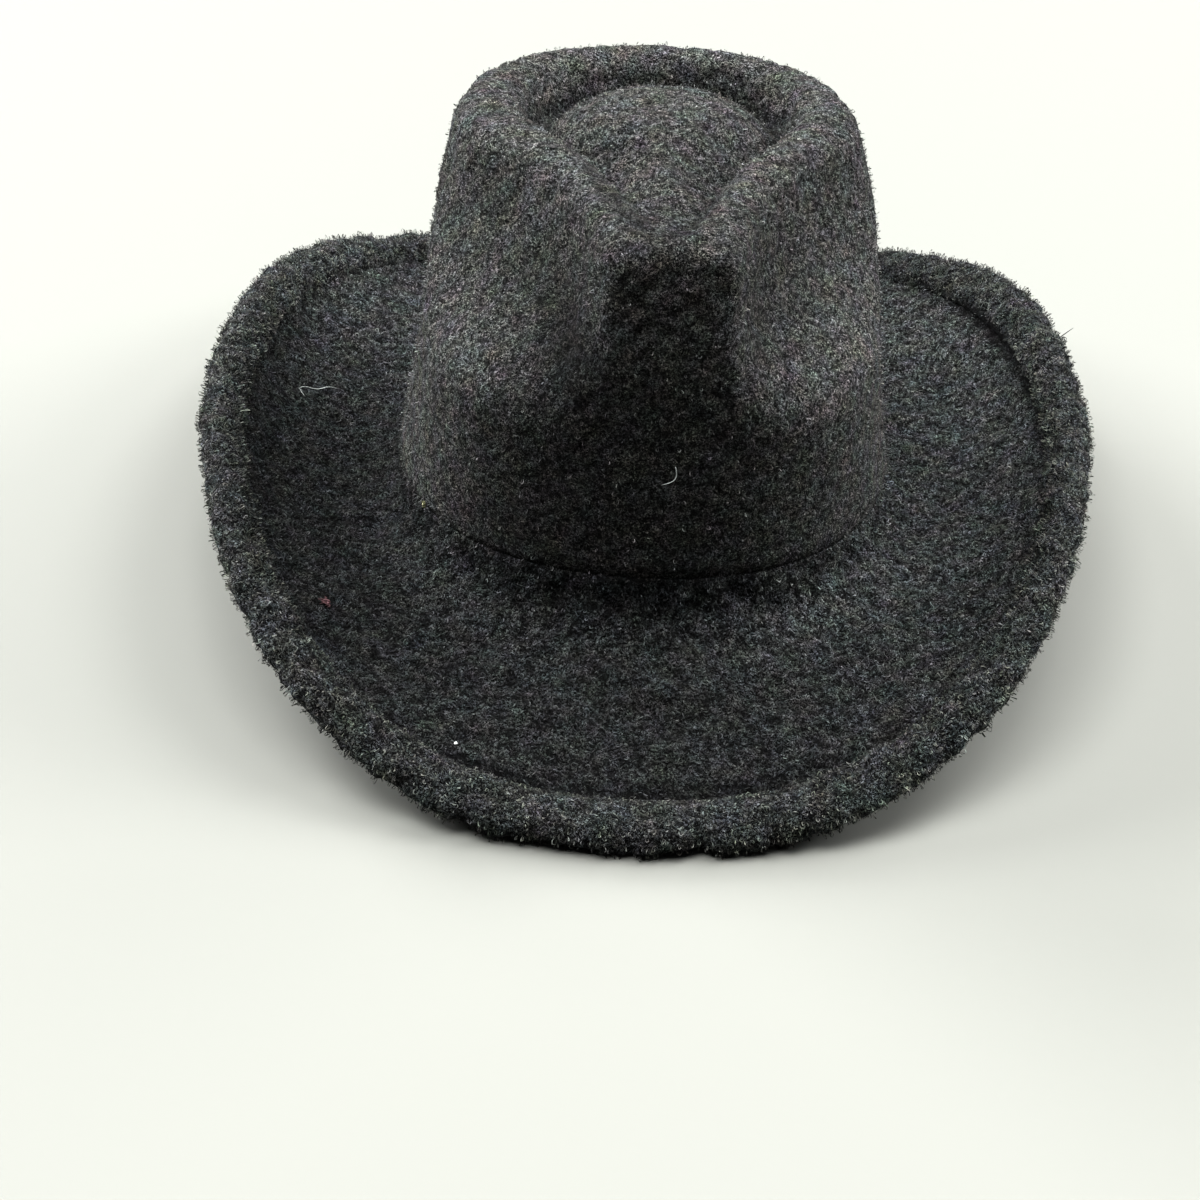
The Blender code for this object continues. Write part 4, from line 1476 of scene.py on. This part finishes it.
class HAT_OT_stage(bpy.types.Operator):
    """Pale floor, soft studio light and the camera"""

    bl_idname = "hat.stage"
    bl_label = "Stage"

    def execute(self, context):
        scene = context.scene
        mesh = bpy.data.meshes.new("floor")
        corners = [(x * FLOOR_SIDE, y * FLOOR_SIDE, 0.0) for x, y in ((-1, -1), (1, -1), (1, 1), (-1, 1))]
        mesh.from_pydata(corners, [], [(0, 1, 2, 3)])
        # Matt paper gives a pale ground without gloss, which takes soft shadows.
        paper = new_material("matt pale grey paper sweep", scene.hat_colours.floor, PAPER_ROUGHNESS)[0]
        floor = add_object(mesh, paper)

        for name, toward, power in SUNS:
            light = bpy.data.lights.new(name, "SUN")
            light.energy = power
            light.angle = math.radians(SUN_WIDTH_DEG)
            back = unit(np.array(toward, dtype=float))
            aim(add_object(light), unit(np.cross([0.0, 1.0, 0.001], back)), back, back)

        world = bpy.data.worlds.new("studio")
        world.use_nodes = True
        tree = world.node_tree
        sky = tree.nodes["Background"]
        sky.inputs["Color"].default_value = linear("#f4f6f5")
        seen = add_node(tree, "ShaderNodeLightPath").outputs["Is Camera Ray"]
        tree.links.new(remap(tree, seen, 0.0, 1.0, *SKY_POWER, "LINEAR"), sky.inputs["Strength"])
        scene.world = world
        scene.view_settings.view_transform = "Standard"
        scene.view_settings.gamma = VIEW_GAMMA

        camera = bpy.data.cameras.new("photo_camera")
        camera.sensor_width = CAMERA_SENSOR
        camera.lens = CAMERA_LENS
        camera.clip_start = CAMERA_NEAREST
        scene.camera = add_object(camera)
        aim(scene.camera, unit(np.array(CAMERA_RIGHT)), -unit(np.array(CAMERA_LOOK)), CAMERA_PLACE)
        return {"FINISHED"}


STEPS = (
    HAT_OT_stage,
    HAT_OT_crown_cloth,
    HAT_OT_brim_cloth,
    HAT_OT_binding_cloth,
    HAT_OT_crown_pile,
    HAT_OT_brim_pile,
    HAT_OT_binding_pile,
    HAT_OT_lint,
)


class HAT_PT_panel(bpy.types.Panel):
    """Sizes, colours and steps of the hat"""

    bl_idname = "HAT_PT_panel"
    bl_label = "Boucle hat"
    bl_space_type = "VIEW_3D"
    bl_region_type = "UI"
    bl_category = "Hat"

    def draw(self, context):
        layout = self.layout
        for group in (context.scene.hat_pile, context.scene.hat_colours):
            box = layout.box()
            for key in group.bl_rna.properties.keys():
                if key not in ("rna_type", "name"):
                    box.prop(group, key)
        for step in STEPS:
            layout.operator(step.bl_idname)


CLASSES = (HatPile, HatColours) + STEPS + (HAT_PT_panel,)


def register():
    """Add the classes and their settings to Blender."""
    for item in CLASSES:
        bpy.utils.register_class(item)
    bpy.types.Scene.hat_pile = bpy.props.PointerProperty(type=HatPile)
    bpy.types.Scene.hat_colours = bpy.props.PointerProperty(type=HatColours)


def unregister():
    """Take the classes and their settings out of Blender."""
    del bpy.types.Scene.hat_pile
    del bpy.types.Scene.hat_colours
    for item in reversed(CLASSES):
        bpy.utils.unregister_class(item)


def main():
    """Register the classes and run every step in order."""
    register()
    bpy.ops.hat.stage()
    bpy.ops.hat.crown_cloth()
    bpy.ops.hat.brim_cloth()
    bpy.ops.hat.binding_cloth()
    bpy.ops.hat.crown_pile()
    bpy.ops.hat.brim_pile()
    bpy.ops.hat.binding_pile()
    bpy.ops.hat.lint()


if __name__ == "__main__":
    main()
